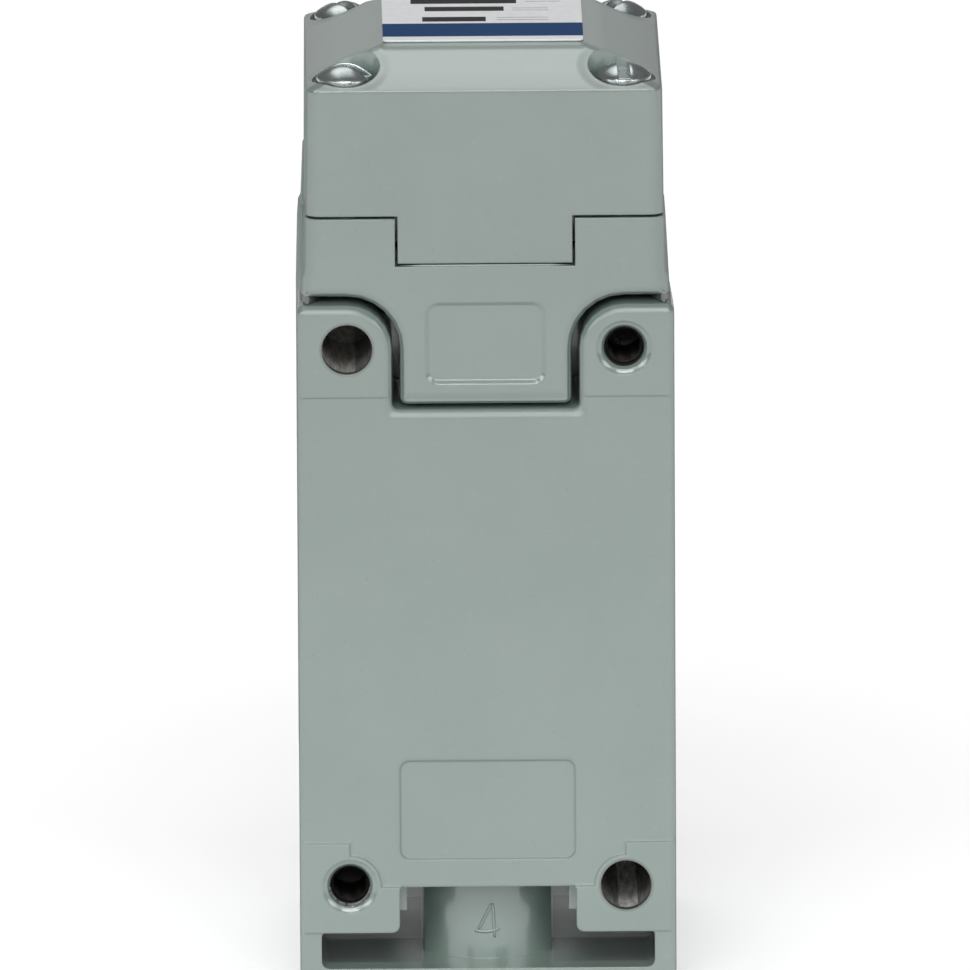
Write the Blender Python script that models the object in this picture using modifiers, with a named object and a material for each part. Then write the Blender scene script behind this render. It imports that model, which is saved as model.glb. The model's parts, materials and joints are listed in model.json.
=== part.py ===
"""Plug-in rotary limit switch in a die-cast housing, built as its real assembly.

The receptacle carries the wiring and the mounting holes. The switch body plugs into it
from the front, and the rotary head sits on the body. A cam on the shaft works a plunger,
a pin and the contact carrier, which go down together.

Frame: +Z up, metres. The mounting plane is y = 0 and faces +Y, the shaft points to -Y.
The origin is the centre of the four mounting holes. A depth is a distance in front of
the mounting plane, so it is -y.
"""

import math

import bmesh
import bpy
from mathutils import Euler, Vector

# Clearances
FIT = 0.00015
SEAT = 0.0003

# Mounting holes: two diagonal ones are clear, the other two are tapped from behind
HOLE_TO_SIDE = 0.00545
HOLE_SPACING_Z = 0.0600
CLEAR_HOLE = 0.0055
TAPPED_HOLE = 0.0043
TAPPED_DEPTH = 0.0100
COUNTERSINK = 0.0061
COUNTERSINK_STEP = 0.0050
COUNTERSINK_DEPTH = 0.0009

# Receptacle casting
CASTING_WIDTH = 0.0409
CASTING_CORNER = 0.0010
EDGE_FILLET = 0.0008
FRAME_DEPTH = 0.0140
BASE_DEPTH = 0.0435
BASE_BOTTOM = -0.0420
BASE_TOP = -0.0240
WALL_DRAFT = 0.0004
DRAFT_START = 0.0010
EAR_RADIUS = 0.0049
NOTCH_LEDGE = 0.0233
NOTCH_CORNER = 0.0007

# Raised pads round the mounting holes
PAD_RISE = 0.00016
EAR_PAD_EDGE = 0.02465
FOOT_PAD_TOP = -0.0252
FOOT_PAD_END = -0.0352
PAD_COLLAR = 0.0034

# Shallow panel on the rear face
PANEL_WIDTH = 0.0190
PANEL_BOTTOM = -0.0270
PANEL_TOP = -0.0160
PANEL_CORNER = 0.0010
PANEL_DEPTH = 0.00022

# Cored cavity at the bottom of the rear face, with a round-faced boss in it
CAVITY_SIDE_WALL = 0.00235
CAVITY_FLOOR = -0.03926
CAVITY_NECK = 0.0192
CAVITY_TOP = -0.0301
CAVITY_DEPTH = 0.0130
CAVITY_CORNER = 0.00085
BOSS_RADIUS = 0.0082
BOSS_WIDTH = 0.0138
BOSS_FACE_DEPTH = 0.0042
RIB_WIDTH = 0.0008
RIB_HEIGHT = 0.0032
RIB_START = 0.0025

# Wiring space in the receptacle
SIDE_WALL = 0.00315
BACK_WALL = 0.0030
LEDGE_WALL = 0.0033
SHELF_WALL = 0.0021
CONDUIT_BORE = 0.0204
CONDUIT_DEPTH = 0.0280
CONDUIT_NECK = 0.0055
CONDUIT_CHAMBER_WIDTH = 0.0216
CAVITY_WALL = 0.0022
BASE_FRONT_WALL = 0.0025

# Screws that hold the body in the receptacle
BODY_SCREW_TO_SIDE = 0.00615
BODY_SCREW_TOP_Z = 0.0170
BODY_SCREW_BOTTOM_Z = -0.0185
BODY_SCREW_DIAMETER = 0.0040
BODY_SCREW_HEAD = 0.0070
BODY_SCREW_HEAD_HEIGHT = 0.0024
BODY_SCREW_END = 0.0065
SCREW_POST = 0.0035

# Gasket between receptacle and body
GASKET_GAP = 0.0008
GASKET_THICKNESS = 0.0005
GASKET_WIDTH = 0.0023
GASKET_INSET = 0.0004

# Switch body casting
BODY_REAR = 0.0003
EAR_GAP = 0.0008
TONGUE_BOTTOM_GAP = 0.0004
TONGUE_CORNER = 0.0008
BODY_CORNER = 0.0018
SHOULDER_BOTTOM = 0.0280
SHOULDER_TOP = 0.0360
SHOULDER_SETBACK = 0.0029
SHOULDER_INSET = 0.00015
CREASE = 0.0378
CREASE_HEIGHT = 0.0006
NECK_INSET_REAR = 0.00056
NECK_INSET_FRONT = 0.00043
POST_TOP = 0.04435
POST_INSET_REAR = 0.00085
POST_INSET_FRONT = 0.0007
POST_TOP_INSET = 0.00095
POST_TOP_REAR = 0.0006
POST_TOP_SETBACK = 0.0007
GAP_LIP_INSET = 0.0013
GAP_LIP_GAP = 0.0002
GAP_LIP_RADIUS = 0.0004
DECK = 0.0391
BODY_SIDE_WALL = 0.00415
BODY_FRONT_WALL = 0.0030
BODY_FLOOR_WALL = 0.0032
POCKET_TOP = 0.0315
POCKET_REAR_WALL = 0.0180

# Window recess on the tongue
WINDOW_WIDTH = 0.0133
WINDOW_BOTTOM = 0.0259
WINDOW_TOP = 0.0352
WINDOW_CORNER = 0.0015
WINDOW_DEPTH = 0.00045
WINDOW_SLOPE = 0.00062

# Rotary head casting
HEAD_AXIS_DEPTH = 0.0200
HEAD_SEAM = 0.04465
HEAD_BASE_INSET = 0.00103
HEAD_RIM_INSET = 0.0012
HEAD_RIM = 0.0586
HEAD_RIM_FILLET = 0.0004
HEAD_CORNER = 0.0016
PLATEAU = 0.0620
PLATEAU_WIDTH = 0.0218
TAB_WIDTH = 0.0189
TAB_GAP = 0.0003
HEAD_CAVITY = 0.0230
HEAD_TOP_WALL = 0.0036
SNOUT_ROOT = 0.0020

# Head screws in their round pockets
HEAD_SCREW_SPACING = 0.0300
HEAD_SCREW_DIAMETER = 0.0040
HEAD_SCREW_HEAD = 0.0062
HEAD_SCREW_HEAD_HEIGHT = 0.0021
HEAD_SCREW_END = 0.0370
HEAD_SCREW_SLOT = 0.0013
POCKET_FLOOR = 0.0584
POCKET_FLOOR_RADIUS = 0.00355
POCKET_MOUTH_RADIUS = 0.0040

# Shaft, its bearing and the cam
SHAFT_Z = 0.0524
SHAFT_DIAMETER = 0.0080
JOURNAL_DIAMETER = 0.0060
JOURNAL_BORE_DEPTH = 0.0050
SNOUT_DIAMETER = 0.0150
SNOUT_LENGTH = 0.0070
BUSH_WALL = 0.0013
SHAFT_LENGTH_OUT = 0.0135
SERRATION_LENGTH = 0.0110
SERRATION_COUNT = 24
SERRATION_HEIGHT = 0.0004
CLIP_WALL = 0.0017
CLIP_THICKNESS = 0.0007
CLIP_GROOVE = 0.0005
SEAL_LENGTH = 0.0016
SEAL_WALL = 0.0018
CAM_LENGTH = 0.0080
CAM_RADIUS = 0.0055
CAM_FLAT = 0.0043

# Plunger, its guide and its spring
PLUNGER_GAP = 0.0002
PLUNGER_FLANGE = 0.0100
PLUNGER_FLANGE_HEIGHT = 0.0014
PLUNGER_STEM = 0.0060
GUIDE_THICKNESS = 0.0018
RETURN_WIRE = 0.0006
RETURN_RADIUS = 0.0041
RETURN_TURNS = 3

# Gasket, pin and seal on the body's deck
RING_RADIUS = 0.0124
RING_WIDTH = 0.0012
RING_HEIGHT = 0.0009
PIN_DIAMETER = 0.0040
PIN_SEAL_DIAMETER = 0.0087
PIN_SEAL_HEIGHT = 0.0018

# Contact block in the body
BLOCK_TOP = 0.0132
BLOCK_BOTTOM = -0.0147
BLOCK_COVER = 0.0021
BLOCK_SIDE = 0.0044
BLOCK_ROOF = 0.0025
CONTACT_CHAMBER = 0.0090
BLOCK_WEB = 0.0025
BLOCK_SCREW_DIAMETER = 0.0026
BLOCK_SCREW_HEAD = 0.0044
BLOCK_SCREW_HEAD_HEIGHT = 0.0010
BLOCK_SCREW_BITE = 0.0018

# Moving contacts
CARRIER_WIDTH = 0.0064
CARRIER_TOP = 0.0085
CARRIER_BOTTOM = -0.0070
BRIDGE_LENGTH = 0.0210
BRIDGE_WIDTH = 0.0030
BRIDGE_THICKNESS = 0.0008
BRIDGE_NC_Z = 0.0040
BRIDGE_NO_Z = -0.0040
CONTACT_WIRE = 0.0005
CONTACT_SPRING_RADIUS = 0.0020
CONTACT_SPRING_TURNS = 4

# Plug-in blades and the jaws that take them
BLADE_X = 0.0090
BLADE_WIDTH = 0.0042
BLADE_THICKNESS = 0.0008
BLADE_TIP_DEPTH = 0.0075
JAW_WIDTH = 0.0040
JAW_SHEET = 0.0005
JAW_FLARE = 0.0008

# Terminal block and wire screws in the receptacle
TERMINAL_GAP = 0.0027
TERMINAL_TOP = 0.0132
TERMINAL_BOTTOM = -0.0145
TERMINAL_DEPTH = 0.0115
TERMINAL_SCREW_TOP_Z = 0.0103
TERMINAL_SCREW_BOTTOM_Z = -0.0116
TERMINAL_SCREW_DIAMETER = 0.0030
TERMINAL_SCREW_HEAD = 0.0048
TERMINAL_SCREW_HEAD_HEIGHT = 0.0015
GROUND_X = -0.0115
GROUND_Z = -0.0188
GROUND_BOSS = 0.0080
GROUND_BOSS_HEIGHT = 0.0030
GROUND_SCREW_DIAMETER = 0.0035
GROUND_SCREW_HEAD = 0.0062
GROUND_SCREW_HEAD_HEIGHT = 0.0020

# Label on the roof
LABEL_WIDTH = 0.0217
LABEL_THICKNESS = 0.0002
LABEL_FILM = 0.00005

# Places that follow from the sizes
CASTING_HALF = CASTING_WIDTH / 2
HOLE_X = CASTING_HALF - HOLE_TO_SIDE
HOLE_Z = HOLE_SPACING_Z / 2
BODY_SCREW_X = CASTING_HALF - BODY_SCREW_TO_SIDE
SHOULDER_DEPTH = BASE_DEPTH - SHOULDER_SETBACK
HEAD_BASE_WIDTH = CASTING_WIDTH - 2 * HEAD_BASE_INSET
HEAD_RIM_WIDTH = CASTING_WIDTH - 2 * HEAD_RIM_INSET
EAR_TOP = HOLE_Z + EAR_RADIUS
EAR_INNER = HOLE_X - EAR_RADIUS
TONGUE_HALF = EAR_INNER - EAR_GAP
TONGUE_BOTTOM = NOTCH_LEDGE + TONGUE_BOTTOM_GAP
UNDERSIDE = EAR_TOP + EAR_GAP
BODY_FACE = FRAME_DEPTH + GASKET_GAP
BODY_BOTTOM = BASE_TOP + GASKET_GAP
CHAMBER_HALF = CASTING_HALF - SIDE_WALL
CHAMBER_TOP = NOTCH_LEDGE - LEDGE_WALL
CHAMBER_SHELF = CAVITY_TOP + SHELF_WALL
POCKET_HALF = CASTING_HALF - BODY_SIDE_WALL
POCKET_DEPTH = BASE_DEPTH - BODY_FRONT_WALL
POCKET_BOTTOM = BODY_BOTTOM + BODY_FLOOR_WALL
HEAD_SCREW_OFFSET = HEAD_SCREW_SPACING / 2
HEAD_BOTTOM = DECK + SEAT
HEAD_FACE = HEAD_AXIS_DEPTH + HEAD_BASE_WIDTH / 2
SNOUT_END = HEAD_FACE + SNOUT_LENGTH
CAVITY_REAR = HEAD_AXIS_DEPTH - HEAD_CAVITY / 2
CAVITY_FRONT = HEAD_AXIS_DEPTH + HEAD_CAVITY / 2
SHAFT_RADIUS = SHAFT_DIAMETER / 2
CAM_LIFT = CAM_RADIUS - CAM_FLAT
PLUNGER_TOP = SHAFT_Z - CAM_RADIUS - PLUNGER_GAP
PIN_SEAL_TOP = DECK - FIT
GUIDE_BOTTOM = HEAD_BOTTOM + PLUNGER_GAP
GUIDE_TOP = GUIDE_BOTTOM + GUIDE_THICKNESS
PLUNGER_BOTTOM = PIN_SEAL_TOP + CAM_LIFT + SEAT
FLANGE_BOTTOM = PLUNGER_TOP - PLUNGER_FLANGE_HEIGHT
BLOCK_HALF = POCKET_HALF - SEAT
BLOCK_REAR = BODY_FACE + SEAT + BLOCK_COVER + SEAT
BLOCK_FRONT = POCKET_DEPTH - SEAT
CONTACT_HALF = BLOCK_HALF - BLOCK_SIDE
CONTACT_FLOOR = BLOCK_BOTTOM + BLOCK_ROOF
CONTACT_ROOF = BLOCK_TOP - BLOCK_ROOF
CONTACT_DEPTH = BLOCK_REAR + CONTACT_CHAMBER / 2
FIXED_NC_Z = BRIDGE_NC_Z + BRIDGE_THICKNESS / 2 + SEAT + BLADE_THICKNESS / 2
FIXED_NO_Z = BRIDGE_NO_Z - BRIDGE_THICKNESS / 2 - SEAT - CAM_LIFT - BLADE_THICKNESS / 2
BLADE_PLACES = [
    (-BLADE_X, FIXED_NC_Z),
    (BLADE_X, FIXED_NC_Z),
    (-BLADE_X, FIXED_NO_Z),
    (BLADE_X, FIXED_NO_Z),
]

# Local x, y, z of each placing: Z is plain, Y has depth as its length, X runs across
AXIS_TURN = {"X": (90, 0, 90), "Y": (90, 0, 0), "Z": (0, 0, 0)}


def clear_scene():
    for obj in list(bpy.data.objects):
        bpy.data.objects.remove(obj, do_unlink=True)


def new_collection(name):
    collection = bpy.data.collections.new(name)
    bpy.context.scene.collection.children.link(collection)
    return collection


def new_material(name, colour, roughness, metallic=0.0, coat=0.0):
    material = bpy.data.materials.new(name)
    material.use_nodes = True
    shader = material.node_tree.nodes["Principled BSDF"]
    shader.inputs["Base Color"].default_value = (*colour, 1.0)
    shader.inputs["Roughness"].default_value = roughness
    shader.inputs["Metallic"].default_value = metallic
    shader.inputs["Coat Weight"].default_value = coat
    return material


clear_scene()
PARTS = new_collection("rotary_limit_switch")
CUTTERS = new_collection("cutters")
ENAMEL = new_material("enamel", (0.314, 0.366, 0.347), 0.32, coat=0.4)
ZINC = new_material("zinc_plate", (0.74, 0.76, 0.77), 0.28, metallic=1.0)
STEEL = new_material("steel", (0.56, 0.57, 0.58), 0.3, metallic=1.0)
BRONZE = new_material("bronze", (0.62, 0.42, 0.22), 0.38, metallic=1.0)
BRASS = new_material("brass", (0.78, 0.60, 0.28), 0.3, metallic=1.0)
RUBBER = new_material("rubber", (0.02, 0.02, 0.022), 0.7)
MOULDING = new_material("moulding", (0.035, 0.034, 0.032), 0.5)
GREEN = new_material("green_steel", (0.05, 0.30, 0.10), 0.35, metallic=0.6)
LABEL = new_material("label_film", (0.85, 0.86, 0.87), 0.35)

ROOT = bpy.data.objects.new("switch_frame", None)
PARTS.objects.link(ROOT)


def new_object(name, data, material=None, axis="Z", at=(0, 0, 0)):
    """A piece of the switch, or with no material a cutter or an added shape.

    at is given in the axis' own frame: (x, y, z), (x, z, depth) or (y, z, x).
    """
    obj = bpy.data.objects.new(name, data)
    turn = Euler([math.radians(angle) for angle in AXIS_TURN[axis]])
    obj.rotation_euler = turn
    obj.location = turn.to_matrix() @ Vector(at)
    if material is None:
        obj.hide_render = True
        obj.display_type = "WIRE"
        CUTTERS.objects.link(obj)
    else:
        data.materials.append(material)
        PARTS.objects.link(obj)
        obj.parent = ROOT
    return obj


def new_mesh(name, bm, smooth=False):
    mesh = bpy.data.meshes.new(name)
    bmesh.ops.recalc_face_normals(bm, faces=bm.faces)
    bm.to_mesh(mesh)
    bm.free()
    if smooth:
        mesh.shade_smooth()
        mesh.set_sharp_from_angle(angle=math.radians(35))
    return mesh


def block(name, x, z, depth, material=None):
    """A box between two x, two z and two depths."""
    bm = bmesh.new()
    bmesh.ops.create_cube(bm, size=1.0)
    size = Vector((x[1] - x[0], z[1] - z[0], depth[1] - depth[0]))
    bmesh.ops.scale(bm, vec=size, verts=bm.verts)
    middle = [(low + high) / 2 for low, high in (x, z, depth)]
    return new_object(name, new_mesh(name, bm), material, "Y", middle)


def rod(name, radius, ends, axis, at, material=None, end_radius=None, segments=24):
    """A cylinder or cone along an axis between two ends, centred at two coordinates."""
    bm = bmesh.new()
    bmesh.ops.create_cone(
        bm,
        cap_ends=True,
        segments=segments,
        radius1=radius,
        radius2=radius if end_radius is None else end_radius,
        depth=ends[1] - ends[0],
    )
    mesh = new_mesh(name, bm, smooth=True)
    return new_object(name, mesh, material, axis, (*at, (ends[0] + ends[1]) / 2))


def turned(name, profile, axis, at, material=None, segments=24, closed=False):
    """A profile of (radius, length) points swept round the axis.

    The profile starts at its highest end and runs down its outer side.
    """
    mesh = bpy.data.meshes.new(name)
    points = [(radius, 0.0, length) for radius, length in profile]
    edges = [(i, i + 1) for i in range(len(points) - 1)]
    if closed:
        edges.append((len(points) - 1, 0))
    mesh.from_pydata(points, edges, [])
    obj = new_object(name, mesh, material, axis, (*at, 0.0))
    screw = obj.modifiers.new("Turn", "SCREW")
    screw.angle = 2 * math.pi
    screw.steps = segments
    screw.render_steps = segments
    screw.use_merge_vertices = True
    screw.merge_threshold = 0.000005
    return obj


def ring(name, inner, outer, ends, axis, at, material=None, segments=24):
    """A plain ring, which is a turned rectangle."""
    profile = [(outer, ends[1]), (outer, ends[0]), (inner, ends[0]), (inner, ends[1])]
    return turned(name, profile, axis, at, material, segments, closed=True)


def inset(corners, distance):
    """An outline's corners moved inwards by a distance, with their radii to match."""
    moved = []
    for i, (u, v, radius) in enumerate(corners):
        corner = Vector((u, v))
        into = (corner - Vector(corners[i - 1][:2])).normalized()
        out = (Vector(corners[(i + 1) % len(corners)][:2]) - corner).normalized()
        left_in = Vector((-into.y, into.x))
        left_out = Vector((-out.y, out.x))
        shift = (left_in + left_out) / (1 + left_in.dot(left_out))
        place = corner + shift * distance
        turns_left = into.x * out.y - into.y * out.x > 0
        if radius > 0:
            radius = max(radius - distance if turns_left else radius + distance, 0.00005)
        moved.append((place.x, place.y, radius))
    return moved


def rounded(corners, steps):
    """Points of an outline whose corners (u, v, radius) are rounded by tangent arcs."""
    points = []
    for i, (u, v, radius) in enumerate(corners):
        corner = Vector((u, v))
        if radius <= 0:
            points.append(corner)
            continue
        back = (Vector(corners[i - 1][:2]) - corner).normalized()
        ahead = (Vector(corners[(i + 1) % len(corners)][:2]) - corner).normalized()
        half = back.angle(ahead) / 2
        centre = corner + (back + ahead).normalized() * radius / math.sin(half)
        start = corner + back * radius / math.tan(half) - centre
        end = corner + ahead * radius / math.tan(half) - centre
        first = math.atan2(start.y, start.x)
        turn = math.atan2(start.x * end.y - start.y * end.x, start.dot(end))
        for step in range(steps + 1):
            angle = first + turn * step / steps
            points.append(centre + Vector((math.cos(angle), math.sin(angle))) * radius)
    return points


def loft(name, sections, material=None, axis="Z", at=(0, 0, 0)):
    """A closed skin through sections of as many points each."""
    bm = bmesh.new()
    loops = [[bm.verts.new(point) for point in section] for section in sections]
    for low, high in zip(loops, loops[1:]):
        for i in range(len(low)):
            j = (i + 1) % len(low)
            bm.faces.new((low[i], low[j], high[j], high[i]))

    # A twisted quad is split in two, because every face has to be flat
    twisted = []
    for face in bm.faces:
        first, second, third, fourth = (vert.co for vert in face.verts)
        normal = (second - first).cross(third - first).normalized()
        if abs(normal.dot(fourth - first)) > 1e-7:
            twisted.append(face)
    bmesh.ops.triangulate(bm, faces=twisted)
    bm.faces.new(list(reversed(loops[0])))
    bm.faces.new(loops[-1])
    return new_object(name, new_mesh(name, bm), material, axis, at)


def slab(name, corners, stations, axis, material=None, steps=4):
    """An outline carried along an axis through stations of (length, inset)."""
    sections = [
        [(point.x, point.y, length) for point in rounded(inset(corners, amount), steps)]
        for length, amount in stations
    ]
    return loft(name, sections, material, axis)


def plate(name, corners, ends, axis, material=None, steps=4):
    """An outline with square edges between two ends."""
    return slab(name, corners, [(ends[0], 0.0), (ends[1], 0.0)], axis, material, steps)


def fillet_stations(face, radius, steps=3):
    """Stations of a quarter round that starts at a face and runs along +length."""
    stations = []
    for step in range(steps + 1):
        angle = math.pi / 2 * step / steps
        along = radius * (1 - math.cos(angle))
        stations.append((face + along, radius * (1 - math.sin(angle))))
    return stations


def rectangle(half_u, low_v, high_v, radius):
    """Corners of a rectangle centred across, counterclockwise."""
    return [
        (-half_u, low_v, radius),
        (half_u, low_v, radius),
        (half_u, high_v, radius),
        (-half_u, high_v, radius),
    ]


def boolean(obj, operation, tools):
    for tool in tools:
        modifier = obj.modifiers.new(tool.name, "BOOLEAN")
        modifier.operation = operation
        modifier.solver = "EXACT"
        modifier.object = tool


def cut(obj, *tools):
    boolean(obj, "DIFFERENCE", tools)


def join(obj, *tools):
    boolean(obj, "UNION", tools)


def coil(name, radius, wire, ends, turns, at, material):
    """A compression spring on Z, whose end turns lie nearly flat."""
    per_turn = 12
    count = turns * per_turn + 1
    low = ends[0] + wire / 2
    rise = ends[1] - ends[0] - wire
    curve = bpy.data.curves.new(name, "CURVE")
    curve.dimensions = "3D"
    curve.bevel_depth = wire / 2
    curve.bevel_resolution = 1
    curve.use_fill_caps = True
    spline = curve.splines.new("POLY")
    spline.points.add(count - 1)
    for i, point in enumerate(spline.points):
        share = i / (count - 1)
        angle = 2 * math.pi * turns * share
        eased = share - math.sin(2 * math.pi * share) / (4 * math.pi)
        z = low + rise * eased
        point.co = (radius * math.cos(angle), radius * math.sin(angle), z, 1.0)
    return new_object(name, curve, material, "Z", (*at, 0.0))


def slotted_screw(name, sizes, axis, at, face, end, turn, material, segments=12):
    """A slotted screw whose head seats at a length called face and whose tip is at end.

    sizes are shank diameter, head diameter, head height and slot width. The head's rim
    is a quarter round, so that its top is a low dome.
    """
    shank, head, height, slot = sizes
    away = 1 if face > end else -1
    radius = head / 2
    round_edge = min(height * 0.6, radius * 0.5)
    profile = [(0.0, height)]
    steps = 4 if segments > 16 else 2
    for step in range(steps + 1):
        angle = math.pi / 2 * step / steps
        reach = radius - round_edge + round_edge * math.sin(angle)
        profile.append((reach, height - round_edge * (1 - math.cos(angle))))
    tip = abs(face - end)
    profile += [
        (radius, 0.0),
        (shank / 2, 0.0),
        (shank / 2, -tip + shank / 5),
        (shank * 0.3, -tip),
        (0.0, -tip),
    ]
    obj = turned(name, profile, axis, at, material, segments)
    obj.location += obj.rotation_euler.to_matrix() @ Vector((0, 0, face))
    bm = bmesh.new()
    bmesh.ops.create_cube(bm, size=1.0)
    size = Vector((head * 1.2, slot, height))
    bmesh.ops.scale(bm, vec=size, verts=bm.verts)
    bmesh.ops.translate(bm, vec=Vector((0, 0, height * 0.95)), verts=bm.verts)
    slot_tool = new_object(name + "_slot", new_mesh(name + "_slot", bm))
    spin = Euler((0, 0, turn)).to_matrix()
    frame = obj.rotation_euler.to_matrix()
    if away < 0:
        frame = frame @ Euler((math.pi, 0, 0)).to_matrix()
        obj.rotation_euler = frame.to_euler()
    slot_tool.rotation_euler = (frame @ spin).to_euler()
    slot_tool.location = obj.location
    cut(obj, slot_tool)
    return obj


def carried_by(empty, *pieces):
    """Hangs pieces on an empty without moving them."""
    bpy.context.view_layer.update()
    for piece in pieces:
        piece.parent = empty
        piece.matrix_parent_inverse = empty.matrix_world.inverted()


def joint_empty(name, place):
    empty = bpy.data.objects.new(name, None)
    empty.location = place
    PARTS.objects.link(empty)
    empty.parent = ROOT
    return empty


def screw_post_outline(half, low, high, radius):
    """A chamber outline that leaves two opposite corners for the body screws' posts."""
    post_x = BODY_SCREW_X - SCREW_POST
    low_post = BODY_SCREW_BOTTOM_Z + SCREW_POST
    high_post = BODY_SCREW_TOP_Z - SCREW_POST
    return [
        (-half, low, radius),
        (post_x, low, 0.0),
        (post_x, low_post, radius),
        (half, low_post, radius),
        (half, high, radius),
        (-post_x, high, 0.0),
        (-post_x, high_post, radius),
        (-half, high_post, radius),
    ]


def build_receptacle():
    outline = [
        (-CASTING_HALF, BASE_BOTTOM, 0.0),
        (CASTING_HALF, BASE_BOTTOM, 0.0),
        (CASTING_HALF, EAR_TOP, CASTING_CORNER),
        (EAR_INNER, EAR_TOP, EAR_RADIUS),
        (EAR_INNER, NOTCH_LEDGE, NOTCH_CORNER),
        (-EAR_INNER, NOTCH_LEDGE, NOTCH_CORNER),
        (-EAR_INNER, EAR_TOP, EAR_RADIUS),
        (-CASTING_HALF, EAR_TOP, CASTING_CORNER),
    ]
    stations = fillet_stations(0.0, EDGE_FILLET) + [(FRAME_DEPTH, 0.0)]
    receptacle = slab("receptacle", outline, stations, "Y", ENAMEL, steps=6)

    base_corners = rectangle(CASTING_HALF, -BASE_DEPTH, -FRAME_DEPTH / 2, CASTING_CORNER)
    base = plate("receptacle_base", base_corners, (BASE_BOTTOM, BASE_TOP), "Z")
    join(receptacle, base)

    # The side walls taper to the front of the frame, as a casting's do
    slope = WALL_DRAFT / (FRAME_DEPTH - DRAFT_START)
    reach = 2 * EDGE_FILLET
    drafted = CASTING_HALF - WALL_DRAFT
    for side in (-1, 1):
        draft_outline = [
            (side * (CASTING_HALF + reach * slope), reach - DRAFT_START),
            (side * drafted, -FRAME_DEPTH),
            (side * drafted, -BASE_DEPTH - reach),
            (side * CASTING_WIDTH, -BASE_DEPTH - reach),
            (side * CASTING_WIDTH, reach - DRAFT_START),
        ]
        draft_ends = (BASE_BOTTOM - reach, EAR_TOP + reach)
        sections = [[(x, y, z) for x, y in draft_outline] for z in draft_ends]
        cut(receptacle, loft("draft", sections))

    # Wiring chamber behind the body, a passage over the shelf and the conduit chamber
    chamber_corners = screw_post_outline(CHAMBER_HALF, BASE_TOP, CHAMBER_TOP, 0.001)
    chamber_ends = (BACK_WALL, BASE_DEPTH)
    chamber = plate("chamber", chamber_corners, chamber_ends, "Y")
    conduit_half = CONDUIT_CHAMBER_WIDTH / 2
    base_inside = BASE_DEPTH - BASE_FRONT_WALL
    passage = block(
        "passage",
        (-conduit_half, conduit_half),
        (CHAMBER_SHELF, BASE_TOP + 0.001),
        (BACK_WALL, base_inside),
    )
    conduit_floor = BASE_BOTTOM + CONDUIT_NECK
    conduit_chamber = block(
        "conduit_chamber",
        (-conduit_half, conduit_half),
        (conduit_floor, BASE_TOP + 0.001),
        (CAVITY_DEPTH + CAVITY_WALL, base_inside),
    )
    conduit = rod(
        "conduit",
        CONDUIT_BORE / 2,
        (BASE_BOTTOM - 0.001, conduit_floor + 0.001),
        "Z",
        (0, -CONDUIT_DEPTH),
        segments=40,
    )
    cut(receptacle, chamber, passage, conduit_chamber, conduit)

    # Screw holes for the body
    for side, z in ((-1, BODY_SCREW_TOP_Z), (1, BODY_SCREW_BOTTOM_Z)):
        hole = rod(
            "post_hole",
            BODY_SCREW_DIAMETER / 2 + FIT,
            (BODY_SCREW_END - SEAT, BASE_DEPTH),
            "Y",
            (side * BODY_SCREW_X, z),
            segments=16,
        )
        cut(receptacle, hole)

    # Mounting holes, seen from behind: clear at top left and bottom right
    clear_ends = (-0.001, BASE_DEPTH + 0.001)
    for side in (1, -1):
        place = (side * HOLE_X, side * HOLE_Z)
        clear = rod("clear_hole", CLEAR_HOLE / 2, clear_ends, "Y", place, segments=32)
        cut(receptacle, clear)
        place = (-side * HOLE_X, side * HOLE_Z)
        profile = [
            (0.0, TAPPED_DEPTH + TAPPED_HOLE / 4),
            (TAPPED_HOLE / 2, TAPPED_DEPTH),
            (TAPPED_HOLE / 2, COUNTERSINK_DEPTH),
            (COUNTERSINK_STEP / 2, COUNTERSINK_DEPTH * 0.4),
            ((COUNTERSINK_STEP + COUNTERSINK) / 4, COUNTERSINK_DEPTH * 0.3),
            (COUNTERSINK / 2, 0.0),
            (COUNTERSINK / 2, -0.001),
            (0.0, -0.001),
        ]
        cut(receptacle, turned("tapped_hole", profile, "Y", place))

    # The rear face lies a little deeper than the pads round the holes
    wide = CASTING_WIDTH
    relief_corners = [
        (-wide, FOOT_PAD_TOP, 0.0),
        (-HOLE_X, FOOT_PAD_TOP, 0.0),
        (-HOLE_X, -HOLE_Z + PAD_COLLAR, 0.0),
        (-HOLE_X + PAD_COLLAR, -HOLE_Z + PAD_COLLAR, PAD_COLLAR * 0.98),
        (-HOLE_X + PAD_COLLAR, CAVITY_TOP, 0.0),
        (HOLE_X - PAD_COLLAR, CAVITY_TOP, 0.0),
        (HOLE_X - PAD_COLLAR, -HOLE_Z + PAD_COLLAR, PAD_COLLAR * 0.98),
        (HOLE_X, -HOLE_Z + PAD_COLLAR, 0.0),
        (HOLE_X, FOOT_PAD_TOP, 0.0),
        (wide, FOOT_PAD_TOP, 0.0),
        (wide, EAR_PAD_EDGE, 0.0),
        (-wide, EAR_PAD_EDGE, 0.0),
    ]
    relief = plate("relief", relief_corners, (-0.001, PAD_RISE), "Y", steps=6)
    foot_relief = block(
        "foot_relief",
        (-wide, wide),
        (BASE_BOTTOM - 0.001, FOOT_PAD_END),
        (-0.001, PAD_RISE),
    )
    panel_corners = rectangle(PANEL_WIDTH / 2, PANEL_BOTTOM, PANEL_TOP, PANEL_CORNER)
    panel_ends = (-0.001, PAD_RISE + PANEL_DEPTH)
    panel = plate("panel", panel_corners, panel_ends, "Y")
    cut(receptacle, relief, foot_relief, panel)

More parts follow.
